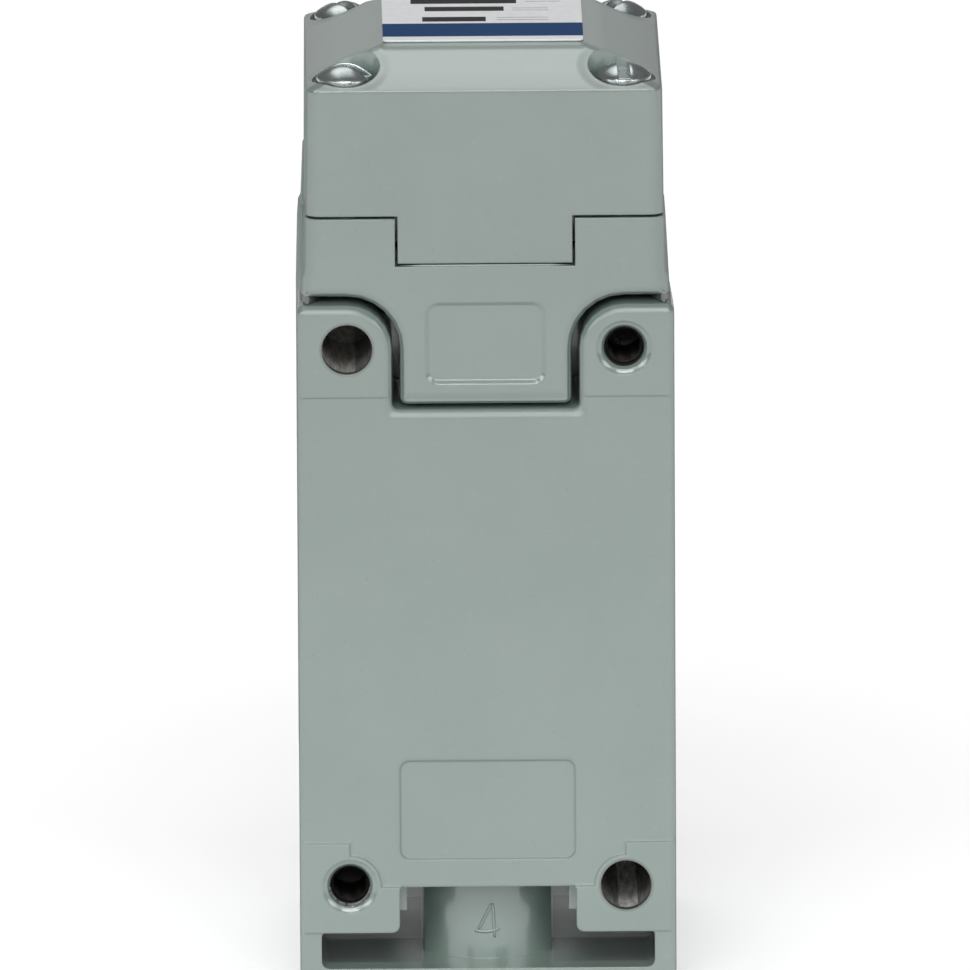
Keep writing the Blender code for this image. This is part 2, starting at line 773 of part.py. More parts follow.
    # The cavity is wide below the feet and narrow between them
    wide_half = CASTING_HALF - CAVITY_SIDE_WALL
    neck_half = CAVITY_NECK / 2
    cavity_corners = [
        (-wide_half, CAVITY_FLOOR, CAVITY_CORNER),
        (wide_half, CAVITY_FLOOR, CAVITY_CORNER),
        (wide_half, FOOT_PAD_END, CAVITY_CORNER / 2),
        (neck_half, FOOT_PAD_END, CAVITY_CORNER),
        (neck_half, CAVITY_TOP, CAVITY_CORNER / 2),
        (-neck_half, CAVITY_TOP, CAVITY_CORNER / 2),
        (-neck_half, FOOT_PAD_END, CAVITY_CORNER),
        (-wide_half, FOOT_PAD_END, CAVITY_CORNER / 2),
    ]
    cavity = plate("cavity", cavity_corners, (-0.001, CAVITY_DEPTH), "Y")
    cut(receptacle, cavity)

    # The boss has a round face and straight flanks
    centre_y = -BOSS_FACE_DEPTH - BOSS_RADIUS
    spread = math.asin(BOSS_WIDTH / 2 / BOSS_RADIUS)
    face = []
    for step in range(13):
        angle = math.pi / 2 - spread + 2 * spread * step / 12
        u = BOSS_RADIUS * math.cos(angle)
        face.append((u, centre_y + BOSS_RADIUS * math.sin(angle)))
    boss_back = -CAVITY_DEPTH - CAVITY_WALL / 2
    outline = [(BOSS_WIDTH / 2, boss_back)] + face + [(-BOSS_WIDTH / 2, boss_back)]
    boss_ends = (CAVITY_FLOOR - 0.001, CAVITY_TOP + 0.001)
    boss = loft("boss", [[(u, v, w) for u, v in outline] for w in boss_ends])
    join(receptacle, boss)
    for side in (-1, 1):
        inner = side * (neck_half - RIB_WIDTH)
        outer = side * (neck_half + RIB_WIDTH)
        rib = block(
            "rib",
            (min(inner, outer), max(inner, outer)),
            (CAVITY_TOP - RIB_HEIGHT, CAVITY_TOP + 0.0005),
            (RIB_START, CAVITY_DEPTH + CAVITY_WALL / 2),
        )
        join(receptacle, rib)

    # Earth screw boss on the back wall
    boss_end = BACK_WALL + GROUND_BOSS_HEIGHT
    ground = (GROUND_X, GROUND_Z)
    ground_ends = (BACK_WALL - 0.001, boss_end)
    join(receptacle, rod("ground_boss", GROUND_BOSS / 2, ground_ends, "Y", ground))
    hole_ends = (BACK_WALL / 2 - SEAT, boss_end + 0.001)
    radius = GROUND_SCREW_DIAMETER / 2 + FIT
    cut(receptacle, rod("ground_hole", radius, hole_ends, "Y", ground, segments=24))
    return receptacle


def build_receptacle_gasket():
    """One moulded seal: an upright frame against the body's rear and a level one under it."""
    outer = CASTING_HALF - WALL_DRAFT - GASKET_INSET
    inner = outer - GASKET_WIDTH
    low = BASE_TOP + FIT
    top = NOTCH_LEDGE - GASKET_INSET
    upright_corners = [
        (-outer, low, 0.0),
        (-inner, low, 0.0),
        (-inner, top - GASKET_WIDTH, CASTING_CORNER),
        (inner, top - GASKET_WIDTH, CASTING_CORNER),
        (inner, low, 0.0),
        (outer, low, 0.0),
        (outer, top, CASTING_CORNER),
        (-outer, top, CASTING_CORNER),
    ]
    rear = FRAME_DEPTH + FIT
    upright_ends = (rear, rear + GASKET_THICKNESS)
    gasket = plate("receptacle_gasket", upright_corners, upright_ends, "Y", RUBBER)
    front = BASE_DEPTH - GASKET_INSET
    level_corners = [
        (-outer, -front, CASTING_CORNER),
        (outer, -front, CASTING_CORNER),
        (outer, -rear, 0.0),
        (inner, -rear, 0.0),
        (inner, -front + GASKET_WIDTH * 0.8, CASTING_CORNER),
        (-inner, -front + GASKET_WIDTH * 0.8, CASTING_CORNER),
        (-inner, -rear, 0.0),
        (-outer, -rear, 0.0),
    ]
    level = plate("level_frame", level_corners, (low, low + GASKET_THICKNESS), "Z")
    join(gasket, level)
    return gasket


def body_section(z, rear_inset, front_inset, rear, front):
    """A level outline whose sides stand in from the casting's width, more behind than in front."""
    rear_half = CASTING_HALF - rear_inset
    front_half = CASTING_HALF - front_inset
    corners = [
        (-rear_half, -rear, BODY_CORNER),
        (-front_half, -front, BODY_CORNER),
        (front_half, -front, BODY_CORNER),
        (rear_half, -rear, BODY_CORNER),
    ]
    return [(point.x, point.y, z) for point in rounded(corners, 4)]


def build_switch_body():
    low = (SHOULDER_INSET, SHOULDER_INSET, BODY_REAR, BASE_DEPTH)
    neck = (NECK_INSET_REAR, NECK_INSET_FRONT, BODY_REAR, SHOULDER_DEPTH)
    shoulder = (NECK_INSET_REAR * 0.9, NECK_INSET_FRONT * 0.7, BODY_REAR, SHOULDER_DEPTH)
    post = (POST_INSET_REAR, POST_INSET_FRONT, BODY_REAR * 1.2, SHOULDER_DEPTH - BODY_REAR)
    top_front = BASE_DEPTH - SHOULDER_SETBACK - POST_TOP_SETBACK
    top = (POST_TOP_INSET, POST_TOP_INSET, POST_TOP_REAR, top_front)
    sections = [
        body_section(BODY_BOTTOM, *low),
        body_section(SHOULDER_BOTTOM, *low),
        body_section(SHOULDER_TOP, *shoulder),
        body_section(CREASE, *neck),
        body_section(CREASE + CREASE_HEIGHT, *post),
        body_section(POST_TOP, *top),
    ]
    body = loft("switch_body", sections, ENAMEL)

    # Room for the receptacle: everything behind the face except the tongue
    wide = CASTING_WIDTH
    room_corners = [
        (-wide, BODY_BOTTOM - wide, 0.0),
        (wide, BODY_BOTTOM - wide, 0.0),
        (wide, UNDERSIDE, 0.0),
        (TONGUE_HALF, UNDERSIDE, EAR_RADIUS + EAR_GAP),
        (TONGUE_HALF, TONGUE_BOTTOM, TONGUE_CORNER),
        (-TONGUE_HALF, TONGUE_BOTTOM, TONGUE_CORNER),
        (-TONGUE_HALF, UNDERSIDE, EAR_RADIUS + EAR_GAP),
        (-wide, UNDERSIDE, 0.0),
    ]
    flare = [(w, -spread) for w, spread in fillet_stations(BODY_REAR, EDGE_FILLET)]
    stations = [(-0.001, -EDGE_FILLET)] + flare[1:] + [(BODY_FACE, 0.0)]
    room = slab("receptacle_room", room_corners, stations, "Y", steps=6)

    # At each side a lip comes down and closes most of the gap over the ear
    lip_corners = [
        (CASTING_HALF - GAP_LIP_INSET, EAR_TOP + GAP_LIP_GAP, GAP_LIP_RADIUS),
        (wide + EDGE_FILLET * 2, EAR_TOP + GAP_LIP_GAP, 0.0),
        (wide + EDGE_FILLET * 2, UNDERSIDE + EDGE_FILLET * 3, 0.0),
        (CASTING_HALF - GAP_LIP_INSET, UNDERSIDE + EDGE_FILLET * 3, 0.0),
    ]
    lip_rear = fillet_stations(BODY_REAR, GAP_LIP_RADIUS)
    lip_stations = [(-0.002, GAP_LIP_RADIUS)] + lip_rear[1:] + [(BODY_FACE + 0.001, 0.0)]
    for side in (-1, 1):
        corners = [(side * x, z, radius) for x, z, radius in lip_corners]
        cut(room, slab("gap_lip", corners[::side], lip_stations, "Y"))
    window_corners = rectangle(WINDOW_WIDTH / 2, WINDOW_BOTTOM, WINDOW_TOP, WINDOW_CORNER)
    window_stations = [(-0.001, 0.0), (BODY_REAR, 0.0)]
    for step in (1, 2, 3, 4):
        part = step / 4
        eased = part * part * (3 - 2 * part)
        window_stations.append((BODY_REAR + WINDOW_DEPTH * eased, WINDOW_SLOPE * part))
    window = slab("window", window_corners, window_stations, "Y")
    cut(body, room, window)

    # Pocket for the contact block, open to the rear, and the space over it
    pocket_corners = screw_post_outline(POCKET_HALF, POCKET_BOTTOM, CHAMBER_TOP, 0.001)
    pocket_ends = (BODY_FACE - 0.001, POCKET_DEPTH)
    pocket = plate("pocket", pocket_corners, pocket_ends, "Y")
    upper_ends = (POCKET_REAR_WALL, SHOULDER_DEPTH - BODY_FRONT_WALL)
    upper = block(
        "upper_pocket",
        (-POCKET_HALF, POCKET_HALF),
        (CHAMBER_TOP - 0.001, POCKET_TOP),
        upper_ends,
    )
    cut(body, pocket, upper)

    # The head's tabs sit in a cross-shaped notch, which leaves four posts
    half_notch = TAB_WIDTH / 2 + TAB_GAP
    notch_z = (DECK, POST_TOP + 0.001)
    axis = HEAD_AXIS_DEPTH
    notch_across = block("notch_across", (-wide, wide), notch_z, (axis - half_notch, axis + half_notch))
    notch_along = block("notch_along", (-half_notch, half_notch), notch_z, (axis - wide, axis + wide))
    cut(body, notch_across, notch_along)

    # Seal groove, seal seat and pin bore on the head's axis
    centre = (0, -HEAD_AXIS_DEPTH)
    groove = ring(
        "ring_groove",
        RING_RADIUS - RING_WIDTH / 2 - FIT,
        RING_RADIUS + RING_WIDTH / 2 + FIT,
        (DECK - RING_HEIGHT, DECK + 0.001),
        "Z",
        centre,
        segments=40,
    )
    seat_ends = (DECK - PIN_SEAL_HEIGHT - 2 * FIT, DECK + 0.001)
    seat = rod("seal_seat", PIN_SEAL_DIAMETER / 2 + FIT, seat_ends, "Z", centre)
    bore_ends = (POCKET_TOP - 0.001, DECK)
    bore = rod("pin_bore", PIN_DIAMETER / 2 + FIT, bore_ends, "Z", centre, segments=16)
    cut(body, groove, seat, bore)

    # Tapped holes for the head screws
    for x, depth in head_screw_places():
        hole = rod(
            "post_tapping",
            HEAD_SCREW_DIAMETER / 2 + FIT,
            (HEAD_SCREW_END - SEAT, POST_TOP + 0.001),
            "Z",
            (x, -depth),
            segments=16,
        )
        cut(body, hole)

    # Stepped holes for the body screws, and blind ones for the contact block's screws
    for side, z in ((-1, BODY_SCREW_TOP_Z), (1, BODY_SCREW_BOTTOM_Z)):
        place = (side * BODY_SCREW_X, z)
        head_floor = BASE_DEPTH - BODY_SCREW_HEAD_HEIGHT - SEAT
        shank = BODY_SCREW_DIAMETER / 2 + FIT
        head = BODY_SCREW_HEAD / 2 + SEAT
        profile = [
            (0.0, BASE_DEPTH + 0.001),
            (head, BASE_DEPTH + 0.001),
            (head, head_floor),
            (shank, head_floor),
            (shank, BODY_FACE - 0.001),
            (0.0, BODY_FACE - 0.001),
        ]
        cut(body, turned("body_screw_hole", profile, "Y", place))
    for x in block_screw_places():
        hole = rod(
            "block_tapping",
            BLOCK_SCREW_DIAMETER / 2 + FIT,
            (POCKET_DEPTH - 0.001, POCKET_DEPTH + BLOCK_SCREW_BITE + SEAT),
            "Y",
            (x, (BLOCK_TOP + BLOCK_BOTTOM) / 2),
            segments=20,
        )
        cut(body, hole)
    return body


def head_screw_places():
    """The x and depth of each head screw."""
    return [
        (across * HEAD_SCREW_OFFSET, HEAD_AXIS_DEPTH + along * HEAD_SCREW_OFFSET)
        for along in (-1, 1)
        for across in (1, -1)
    ]


def block_screw_places():
    middle = BLOCK_HALF - BLOCK_SIDE / 2
    return (-middle, middle)


def head_section(z, width, radius):
    half = width / 2
    corners = rectangle(half, -HEAD_AXIS_DEPTH - half, -HEAD_AXIS_DEPTH + half, radius)
    return [(point.x, point.y, z) for point in rounded(corners, 4)]


def build_head_housing():
    soft = HEAD_RIM_FILLET
    sections = [
        head_section(HEAD_BOTTOM, HEAD_BASE_WIDTH, HEAD_CORNER),
        head_section(HEAD_RIM - soft, HEAD_RIM_WIDTH, HEAD_CORNER),
        head_section(HEAD_RIM - soft * 0.2, HEAD_RIM_WIDTH - soft * 0.5, HEAD_CORNER),
        head_section(HEAD_RIM + soft * 0.2, HEAD_RIM_WIDTH - soft * 2, HEAD_CORNER),
        head_section(PLATEAU, PLATEAU_WIDTH, HEAD_CORNER / 2),
    ]
    head = loft("head_housing", sections, ENAMEL)

    # Cutting the lower corners leaves a tab on each side, so the head fits in four directions
    half_tab = TAB_WIDTH / 2
    wide = HEAD_BASE_WIDTH
    corner_z = (HEAD_BOTTOM - 0.001, HEAD_SEAM)
    for across in (-1, 1):
        for along in (-1, 1):
            xs = sorted((across * half_tab, across * wide))
            depths = sorted(HEAD_AXIS_DEPTH + along * reach for reach in (half_tab, wide))
            cut(head, block("post_corner", xs, corner_z, depths))
    snout_ends = (HEAD_FACE - SNOUT_ROOT, SNOUT_END)
    snout = rod("snout", SNOUT_DIAMETER / 2, snout_ends, "Y", (0, SHAFT_Z), segments=40)
    join(head, snout)

    centre = (0, -HEAD_AXIS_DEPTH)
    cavity_ends = (HEAD_BOTTOM - 0.001, PLATEAU - HEAD_TOP_WALL)
    cavity = rod("head_cavity", HEAD_CAVITY / 2, cavity_ends, "Z", centre, segments=40)
    bush_radius = SHAFT_RADIUS + FIT + BUSH_WALL + FIT
    seal_radius = SHAFT_RADIUS + FIT + SEAL_WALL + FIT
    seal_floor = SNOUT_END - SEAL_LENGTH - 2 * FIT
    bearing = [
        (0.0, SNOUT_END + 0.001),
        (seal_radius, SNOUT_END + 0.001),
        (seal_radius, seal_floor),
        (bush_radius, seal_floor),
        (bush_radius, HEAD_AXIS_DEPTH),
        (0.0, HEAD_AXIS_DEPTH),
    ]
    bearing_bore = turned("bearing_bore", bearing, "Y", (0, SHAFT_Z))
    journal_ends = (CAVITY_REAR - JOURNAL_BORE_DEPTH, HEAD_AXIS_DEPTH)
    journal_radius = JOURNAL_DIAMETER / 2 + FIT
    journal_bore = rod("journal_bore", journal_radius, journal_ends, "Y", (0, SHAFT_Z))
    cut(head, cavity, bearing_bore, journal_bore)

    for x, depth in head_screw_places():
        mouth = PLATEAU + 0.0005
        pocket = rod(
            "screw_pocket",
            POCKET_FLOOR_RADIUS,
            (POCKET_FLOOR, mouth),
            "Z",
            (x, -depth),
            end_radius=POCKET_MOUTH_RADIUS,
            segments=40,
        )
        hole = rod(
            "screw_hole",
            HEAD_SCREW_DIAMETER / 2 + FIT,
            (HEAD_SEAM - 0.001, POCKET_FLOOR + 0.001),
            "Z",
            (x, -depth),
            segments=16,
        )
        cut(head, pocket, hole)
    return head


def build_shaft():
    """A shaft with a rear journal, a clip groove and a serrated end for a lever."""
    tip = SNOUT_END + SHAFT_LENGTH_OUT
    cam_front = HEAD_AXIS_DEPTH + CAM_LENGTH / 2
    groove = clip_depth()
    neck = SHAFT_RADIUS - CLIP_GROOVE
    core = SHAFT_RADIUS - SERRATION_HEIGHT
    chamfer = SERRATION_HEIGHT * 2
    profile = [
        (0.0, tip),
        (core - chamfer / 2, tip),
        (core, tip - chamfer / 2),
        (core, tip - SERRATION_LENGTH),
        (SHAFT_RADIUS, tip - SERRATION_LENGTH),
        (SHAFT_RADIUS, groove[1]),
        (neck, groove[1]),
        (neck, groove[0]),
        (SHAFT_RADIUS, groove[0]),
        (SHAFT_RADIUS, cam_front + SEAT),
        (JOURNAL_DIAMETER / 2, cam_front + SEAT),
        (JOURNAL_DIAMETER / 2, CAVITY_REAR - JOURNAL_BORE_DEPTH + SEAT),
        (0.0, CAVITY_REAR - JOURNAL_BORE_DEPTH + SEAT),
    ]
    shaft = turned("actuator_shaft", profile, "Y", (0, SHAFT_Z), STEEL)

    # Teeth: an outline that swings between root and crown
    teeth = []
    for i in range(2 * SERRATION_COUNT):
        radius = SHAFT_RADIUS if i % 2 else core - SERRATION_HEIGHT * 0.2
        angle = math.pi * i / SERRATION_COUNT
        teeth.append((radius * math.cos(angle), radius * math.sin(angle)))
    ends = (tip - SERRATION_LENGTH - 0.0002, tip - chamfer)
    sections = [[(u, SHAFT_Z + v, w) for u, v in teeth] for w in ends]
    join(shaft, loft("serration", sections, axis="Y"))
    return shaft


def clip_depth():
    """The two depths of the clip groove, behind the bush."""
    front = CAVITY_FRONT - SEAT
    return (front - CLIP_THICKNESS - 2 * FIT, front)


def arc(radius, first, last, steps):
    angles = [first + (last - first) * i / steps for i in range(steps + 1)]
    return [(radius * math.cos(a), radius * math.sin(a)) for a in angles]


def build_shaft_fittings():
    bush = ring(
        "shaft_bush",
        SHAFT_RADIUS + FIT,
        SHAFT_RADIUS + FIT + BUSH_WALL,
        (CAVITY_FRONT + FIT, SNOUT_END - SEAL_LENGTH - 3 * FIT),
        "Y",
        (0, SHAFT_Z),
        BRONZE,
    )
    seal_inner = SHAFT_RADIUS + FIT
    seal_outer = seal_inner + SEAL_WALL
    low = SNOUT_END - SEAL_LENGTH - FIT
    high = SNOUT_END - FIT
    lip = SEAL_WALL * 0.4
    profile = [
        (seal_outer, high),
        (seal_outer, low),
        (seal_inner, low),
        (seal_inner, high - lip),
        (seal_inner + lip, high),
    ]
    seal = turned("shaft_seal", profile, "Y", (0, SHAFT_Z), RUBBER, closed=True)

    # An open ring in the shaft's groove
    opening = math.radians(50)
    inner = SHAFT_RADIUS - CLIP_GROOVE + FIT
    first, last = math.pi / 2 + opening / 2, math.pi / 2 - opening / 2 + 2 * math.pi
    loop = arc(inner + CLIP_WALL, first, last, 26) + arc(inner, last, first, 26)
    groove = clip_depth()
    ends = (groove[0] + FIT, groove[1] - FIT)
    sections = [[(u, SHAFT_Z + v, w) for u, v in loop] for w in ends]
    clip = loft("shaft_clip", sections, STEEL, "Y")
    return bush, seal, clip


def build_cam():
    """A round cam whose flat faces down at rest."""
    half = math.acos(CAM_FLAT / CAM_RADIUS)
    down = -math.pi / 2
    outline = arc(CAM_RADIUS, down + half, down + 2 * math.pi - half, 36)
    ends = (HEAD_AXIS_DEPTH - CAM_LENGTH / 2, HEAD_AXIS_DEPTH + CAM_LENGTH / 2)
    sections = [[(u, SHAFT_Z + v, w) for u, v in outline] for w in ends]
    cam = loft("operating_cam", sections, STEEL, "Y")
    bore_ends = (ends[0] - 0.001, ends[1] + 0.001)
    cut(cam, rod("cam_bore", JOURNAL_DIAMETER / 2 + FIT, bore_ends, "Y", (0, SHAFT_Z)))
    return cam


def build_plunger_group():
    centre = (0, -HEAD_AXIS_DEPTH)
    guide = ring(
        "plunger_guide",
        PLUNGER_STEM / 2 + FIT,
        HEAD_CAVITY / 2 - SEAT,
        (GUIDE_BOTTOM, GUIDE_TOP),
        "Z",
        centre,
        ZINC,
    )
    dome = PLUNGER_FLANGE_HEIGHT * 0.3
    profile = [
        (0.0, PLUNGER_TOP),
        (PLUNGER_FLANGE / 2 - dome, PLUNGER_TOP),
        (PLUNGER_FLANGE / 2, PLUNGER_TOP - dome),
        (PLUNGER_FLANGE / 2, FLANGE_BOTTOM),
        (PLUNGER_STEM / 2, FLANGE_BOTTOM),
        (PLUNGER_STEM / 2, PLUNGER_BOTTOM),
        (0.0, PLUNGER_BOTTOM),
    ]
    plunger = turned("return_plunger", profile, "Z", centre, STEEL)
    spring_ends = (GUIDE_TOP + PLUNGER_GAP, FLANGE_BOTTOM - PLUNGER_GAP)
    spring = coil(
        "return_spring",
        RETURN_RADIUS,
        RETURN_WIRE,
        spring_ends,
        RETURN_TURNS,
        centre,
        STEEL,
    )
    gasket = ring(
        "head_gasket",
        RING_RADIUS - RING_WIDTH / 2,
        RING_RADIUS + RING_WIDTH / 2,
        (DECK - RING_HEIGHT + FIT, DECK + FIT),
        "Z",
        centre,
        RUBBER,
        segments=40,
    )
    return guide, plunger, spring, gasket


def build_pin_group():
    centre = (0, -HEAD_AXIS_DEPTH)
    top = PLUNGER_BOTTOM - PLUNGER_GAP
    bottom = CARRIER_TOP + PLUNGER_GAP
    nose = PIN_DIAMETER / 8
    profile = [
        (0.0, top),
        (PIN_DIAMETER / 2 - nose, top),
        (PIN_DIAMETER / 2, top - nose),
        (PIN_DIAMETER / 2, bottom + nose),
        (PIN_DIAMETER / 2 - nose, bottom),
        (0.0, bottom),
    ]
    pin = turned("operating_pin", profile, "Z", centre, STEEL, segments=16)
    inner = PIN_DIAMETER / 2 + FIT
    outer = PIN_SEAL_DIAMETER / 2
    low = PIN_SEAL_TOP - PIN_SEAL_HEIGHT
    lip = (outer - inner) * 0.35
    profile = [
        (outer, PIN_SEAL_TOP),
        (outer, low),
        (inner, low),
        (inner, PIN_SEAL_TOP - lip),
        (inner + lip, PIN_SEAL_TOP),
    ]
    seal = turned("pin_seal", profile, "Z", centre, RUBBER, closed=True)
    return pin, seal


def build_switch_block():
    """A moulded housing: contact chamber open to the rear, coring open to the front."""
    side = BLOCK_HALF
    switch_block = block(
        "switch_block",
        (-side, side),
        (BLOCK_BOTTOM, BLOCK_TOP),
        (BLOCK_REAR, BLOCK_FRONT),
        MOULDING,
    )
    inside_x = (-CONTACT_HALF, CONTACT_HALF)
    inside_z = (CONTACT_FLOOR, CONTACT_ROOF)
    chamber_front = BLOCK_REAR + CONTACT_CHAMBER
    chamber_ends = (BLOCK_REAR - 0.001, chamber_front)
    chamber = block("contact_chamber", inside_x, inside_z, chamber_ends)
    core_ends = (chamber_front + BLOCK_WEB, BLOCK_FRONT + 0.001)
    core = block("front_core", inside_x, inside_z, core_ends)
    pin_hole = rod(
        "block_pin_hole",
        PIN_DIAMETER / 2 + SEAT,
        (CONTACT_ROOF - 0.001, BLOCK_TOP + 0.001),
        "Z",
        (0, -HEAD_AXIS_DEPTH),
        segments=16,
    )
    cut(switch_block, chamber, core, pin_hole)

    cover_ends = (BODY_FACE + SEAT, BODY_FACE + SEAT + BLOCK_COVER)
    cover = block(
        "block_cover",
        (-side, side),
        (BLOCK_BOTTOM, BLOCK_TOP),
        cover_ends,
        MOULDING,
    )
    slot_half = BLADE_WIDTH / 2 + FIT
    slot_rise = BLADE_THICKNESS / 2 + FIT
    slot_ends = (cover_ends[0] - 0.001, cover_ends[1] + 0.001)
    for x, z in BLADE_PLACES:
        slot_x = (x - slot_half, x + slot_half)
        slot = block("blade_slot", slot_x, (z - slot_rise, z + slot_rise), slot_ends)
        cut(cover, slot)

    middle_z = (BLOCK_TOP + BLOCK_BOTTOM) / 2
    head_floor = cover_ends[0] + BLOCK_SCREW_HEAD_HEIGHT + FIT
    screws = []
    for i, x in enumerate(block_screw_places()):
        radius = BLOCK_SCREW_DIAMETER / 2 + FIT
        profile = [
            (0.0, BLOCK_FRONT + 0.001),
            (radius, BLOCK_FRONT + 0.001),
            (radius, head_floor),
            (BLOCK_SCREW_HEAD / 2 + FIT, head_floor),
            (BLOCK_SCREW_HEAD / 2 + FIT, cover_ends[0] - 0.001),
            (0.0, cover_ends[0] - 0.001),
        ]
        hole = turned("block_screw_hole", profile, "Y", (x, middle_z), segments=16)
        cut(cover, hole)
        cut(switch_block, hole)
        sizes = (
            BLOCK_SCREW_DIAMETER,
            BLOCK_SCREW_HEAD,
            BLOCK_SCREW_HEAD_HEIGHT,
            BLOCK_SCREW_HEAD / 6,
        )
        screw = slotted_screw(
            f"block_screw_{i + 1}",
            sizes,
            "Y",
            (x, middle_z),
            head_floor - FIT,
            POCKET_DEPTH + BLOCK_SCREW_BITE,
            0.4 + i,
            ZINC,
        )
        screws.append(screw)
    return switch_block, cover, screws


def build_contacts():
    """The carrier with its two bridges, its spring and the four fixed contacts."""
    low_depth = BLOCK_REAR + SEAT
    high_depth = BLOCK_REAR + CONTACT_CHAMBER - SEAT
    half = CARRIER_WIDTH / 2
    carrier = block(
        "contact_carrier",
        (-half, half),
        (CARRIER_BOTTOM, CARRIER_TOP),
        (low_depth, high_depth),
        MOULDING,
    )
    bridges = []
    for name, z in (("bridge_contact_nc", BRIDGE_NC_Z), ("bridge_contact_no", BRIDGE_NO_Z)):
        half_width = BRIDGE_WIDTH / 2
        rise = BRIDGE_THICKNESS / 2
        window = block(
            name + "_window",
            (-CARRIER_WIDTH, CARRIER_WIDTH),
            (z - rise - FIT, z + rise + FIT),
            (CONTACT_DEPTH - half_width - FIT, CONTACT_DEPTH + half_width + FIT),
        )
        cut(carrier, window)
        corners = rectangle(
            BRIDGE_LENGTH / 2,
            -CONTACT_DEPTH - half_width,
            -CONTACT_DEPTH + half_width,
            BRIDGE_WIDTH * 0.3,
        )
        bridges.append(plate(name, corners, (z - rise, z + rise), "Z", BRASS))

    spring = coil(
        "contact_spring",
        CONTACT_SPRING_RADIUS,
        CONTACT_WIRE,
        (CONTACT_FLOOR + PLUNGER_GAP, CARRIER_BOTTOM - PLUNGER_GAP),
        CONTACT_SPRING_TURNS,
        (0, -CONTACT_DEPTH),
        STEEL,
    )

    fixed = []
    for i, (x, z) in enumerate(BLADE_PLACES):
        front = CONTACT_DEPTH + BRIDGE_WIDTH / 2
        half_width = BLADE_WIDTH / 2
        corners = [
            (x - half_width, -front, 0.0),
            (x + half_width, -front, 0.0),
            (x + half_width, -BLADE_TIP_DEPTH, half_width / 2),
            (x - half_width, -BLADE_TIP_DEPTH, half_width / 2),
        ]
        ends = (z - BLADE_THICKNESS / 2, z + BLADE_THICKNESS / 2)
        fixed.append(plate(f"fixed_contact_{i + 1}", corners, ends, "Z", BRASS))
    return carrier, bridges, spring, fixed


def strip(path, thickness):
    """The outline of a bent strip that follows a path at an even thickness."""
    sides = ([], [])
    for i, point in enumerate(path):
        here = Vector(point)
        before = Vector(path[i - 1]) if i > 0 else None
        after = Vector(path[i + 1]) if i + 1 < len(path) else None
        into = (here - before).normalized() if before else (after - here).normalized()
        out = (after - here).normalized() if after else into
        left_in = Vector((-into.y, into.x))
        left_out = Vector((-out.y, out.x))
        shift = (left_in + left_out) / (1 + left_in.dot(left_out)) * thickness / 2
        sides[0].append(here + shift)
        sides[1].append(here - shift)
    return sides[0] + list(reversed(sides[1]))


def build_terminals():
    half = CHAMBER_HALF - TERMINAL_GAP
    rear = BACK_WALL + SEAT
    terminal_block = block(
        "terminal_block",
        (-half, half),
        (TERMINAL_BOTTOM, TERMINAL_TOP),
        (rear, TERMINAL_DEPTH),
        MOULDING,
    )
    grip = BLADE_THICKNESS / 2 + FIT + JAW_SHEET / 2
    jaw_back = BLADE_TIP_DEPTH - SEAT - JAW_SHEET / 2
    mouth = TERMINAL_DEPTH - SEAT
    flare_start = mouth - JAW_FLARE
    pocket_floor = jaw_back - JAW_SHEET / 2 - SEAT
    pocket_half = JAW_WIDTH / 2 + FIT
    pocket_rise = grip + JAW_FLARE + JAW_SHEET
    screw_z = {FIXED_NC_Z: TERMINAL_SCREW_TOP_Z, FIXED_NO_Z: TERMINAL_SCREW_BOTTOM_Z}
    jaws, screws = [], []
    for i, (x, z) in enumerate(BLADE_PLACES):
        pocket = block(
            "jaw_pocket",
            (x - pocket_half, x + pocket_half),
            (z - pocket_rise, z + pocket_rise),
            (pocket_floor, TERMINAL_DEPTH + 0.001),
        )
        path = [
            (-mouth, grip + JAW_FLARE),
            (-flare_start, grip),
            (-jaw_back, grip),
            (-jaw_back, -grip),
            (-flare_start, -grip),
            (-mouth, -grip - JAW_FLARE),
        ]
        outline = strip(path, JAW_SHEET)
        sections = [
            [(point.x, z + point.y, side) for point in outline]
            for side in (x - JAW_WIDTH / 2, x + JAW_WIDTH / 2)
        ]
        jaws.append(loft(f"jaw_contact_{i + 1}", sections, BRASS, "X"))
        place = (x, screw_z[z])
        tip = rear + SEAT * 4
        hole_ends = (tip - SEAT, TERMINAL_DEPTH + 0.001)
        radius = TERMINAL_SCREW_DIAMETER / 2 + FIT
        hole = rod("terminal_hole", radius, hole_ends, "Y", place, segments=16)
        cut(terminal_block, pocket, hole)
        sizes = (
            TERMINAL_SCREW_DIAMETER,
            TERMINAL_SCREW_HEAD,
            TERMINAL_SCREW_HEAD_HEIGHT,
            TERMINAL_SCREW_HEAD / 6,
        )
        face = TERMINAL_DEPTH + SEAT
        screw = slotted_screw(
            f"terminal_screw_{i + 1}", sizes, "Y", place, face, tip, 0.3 + 0.7 * i, ZINC
        )
        screws.append(screw)
    return terminal_block, jaws, screws


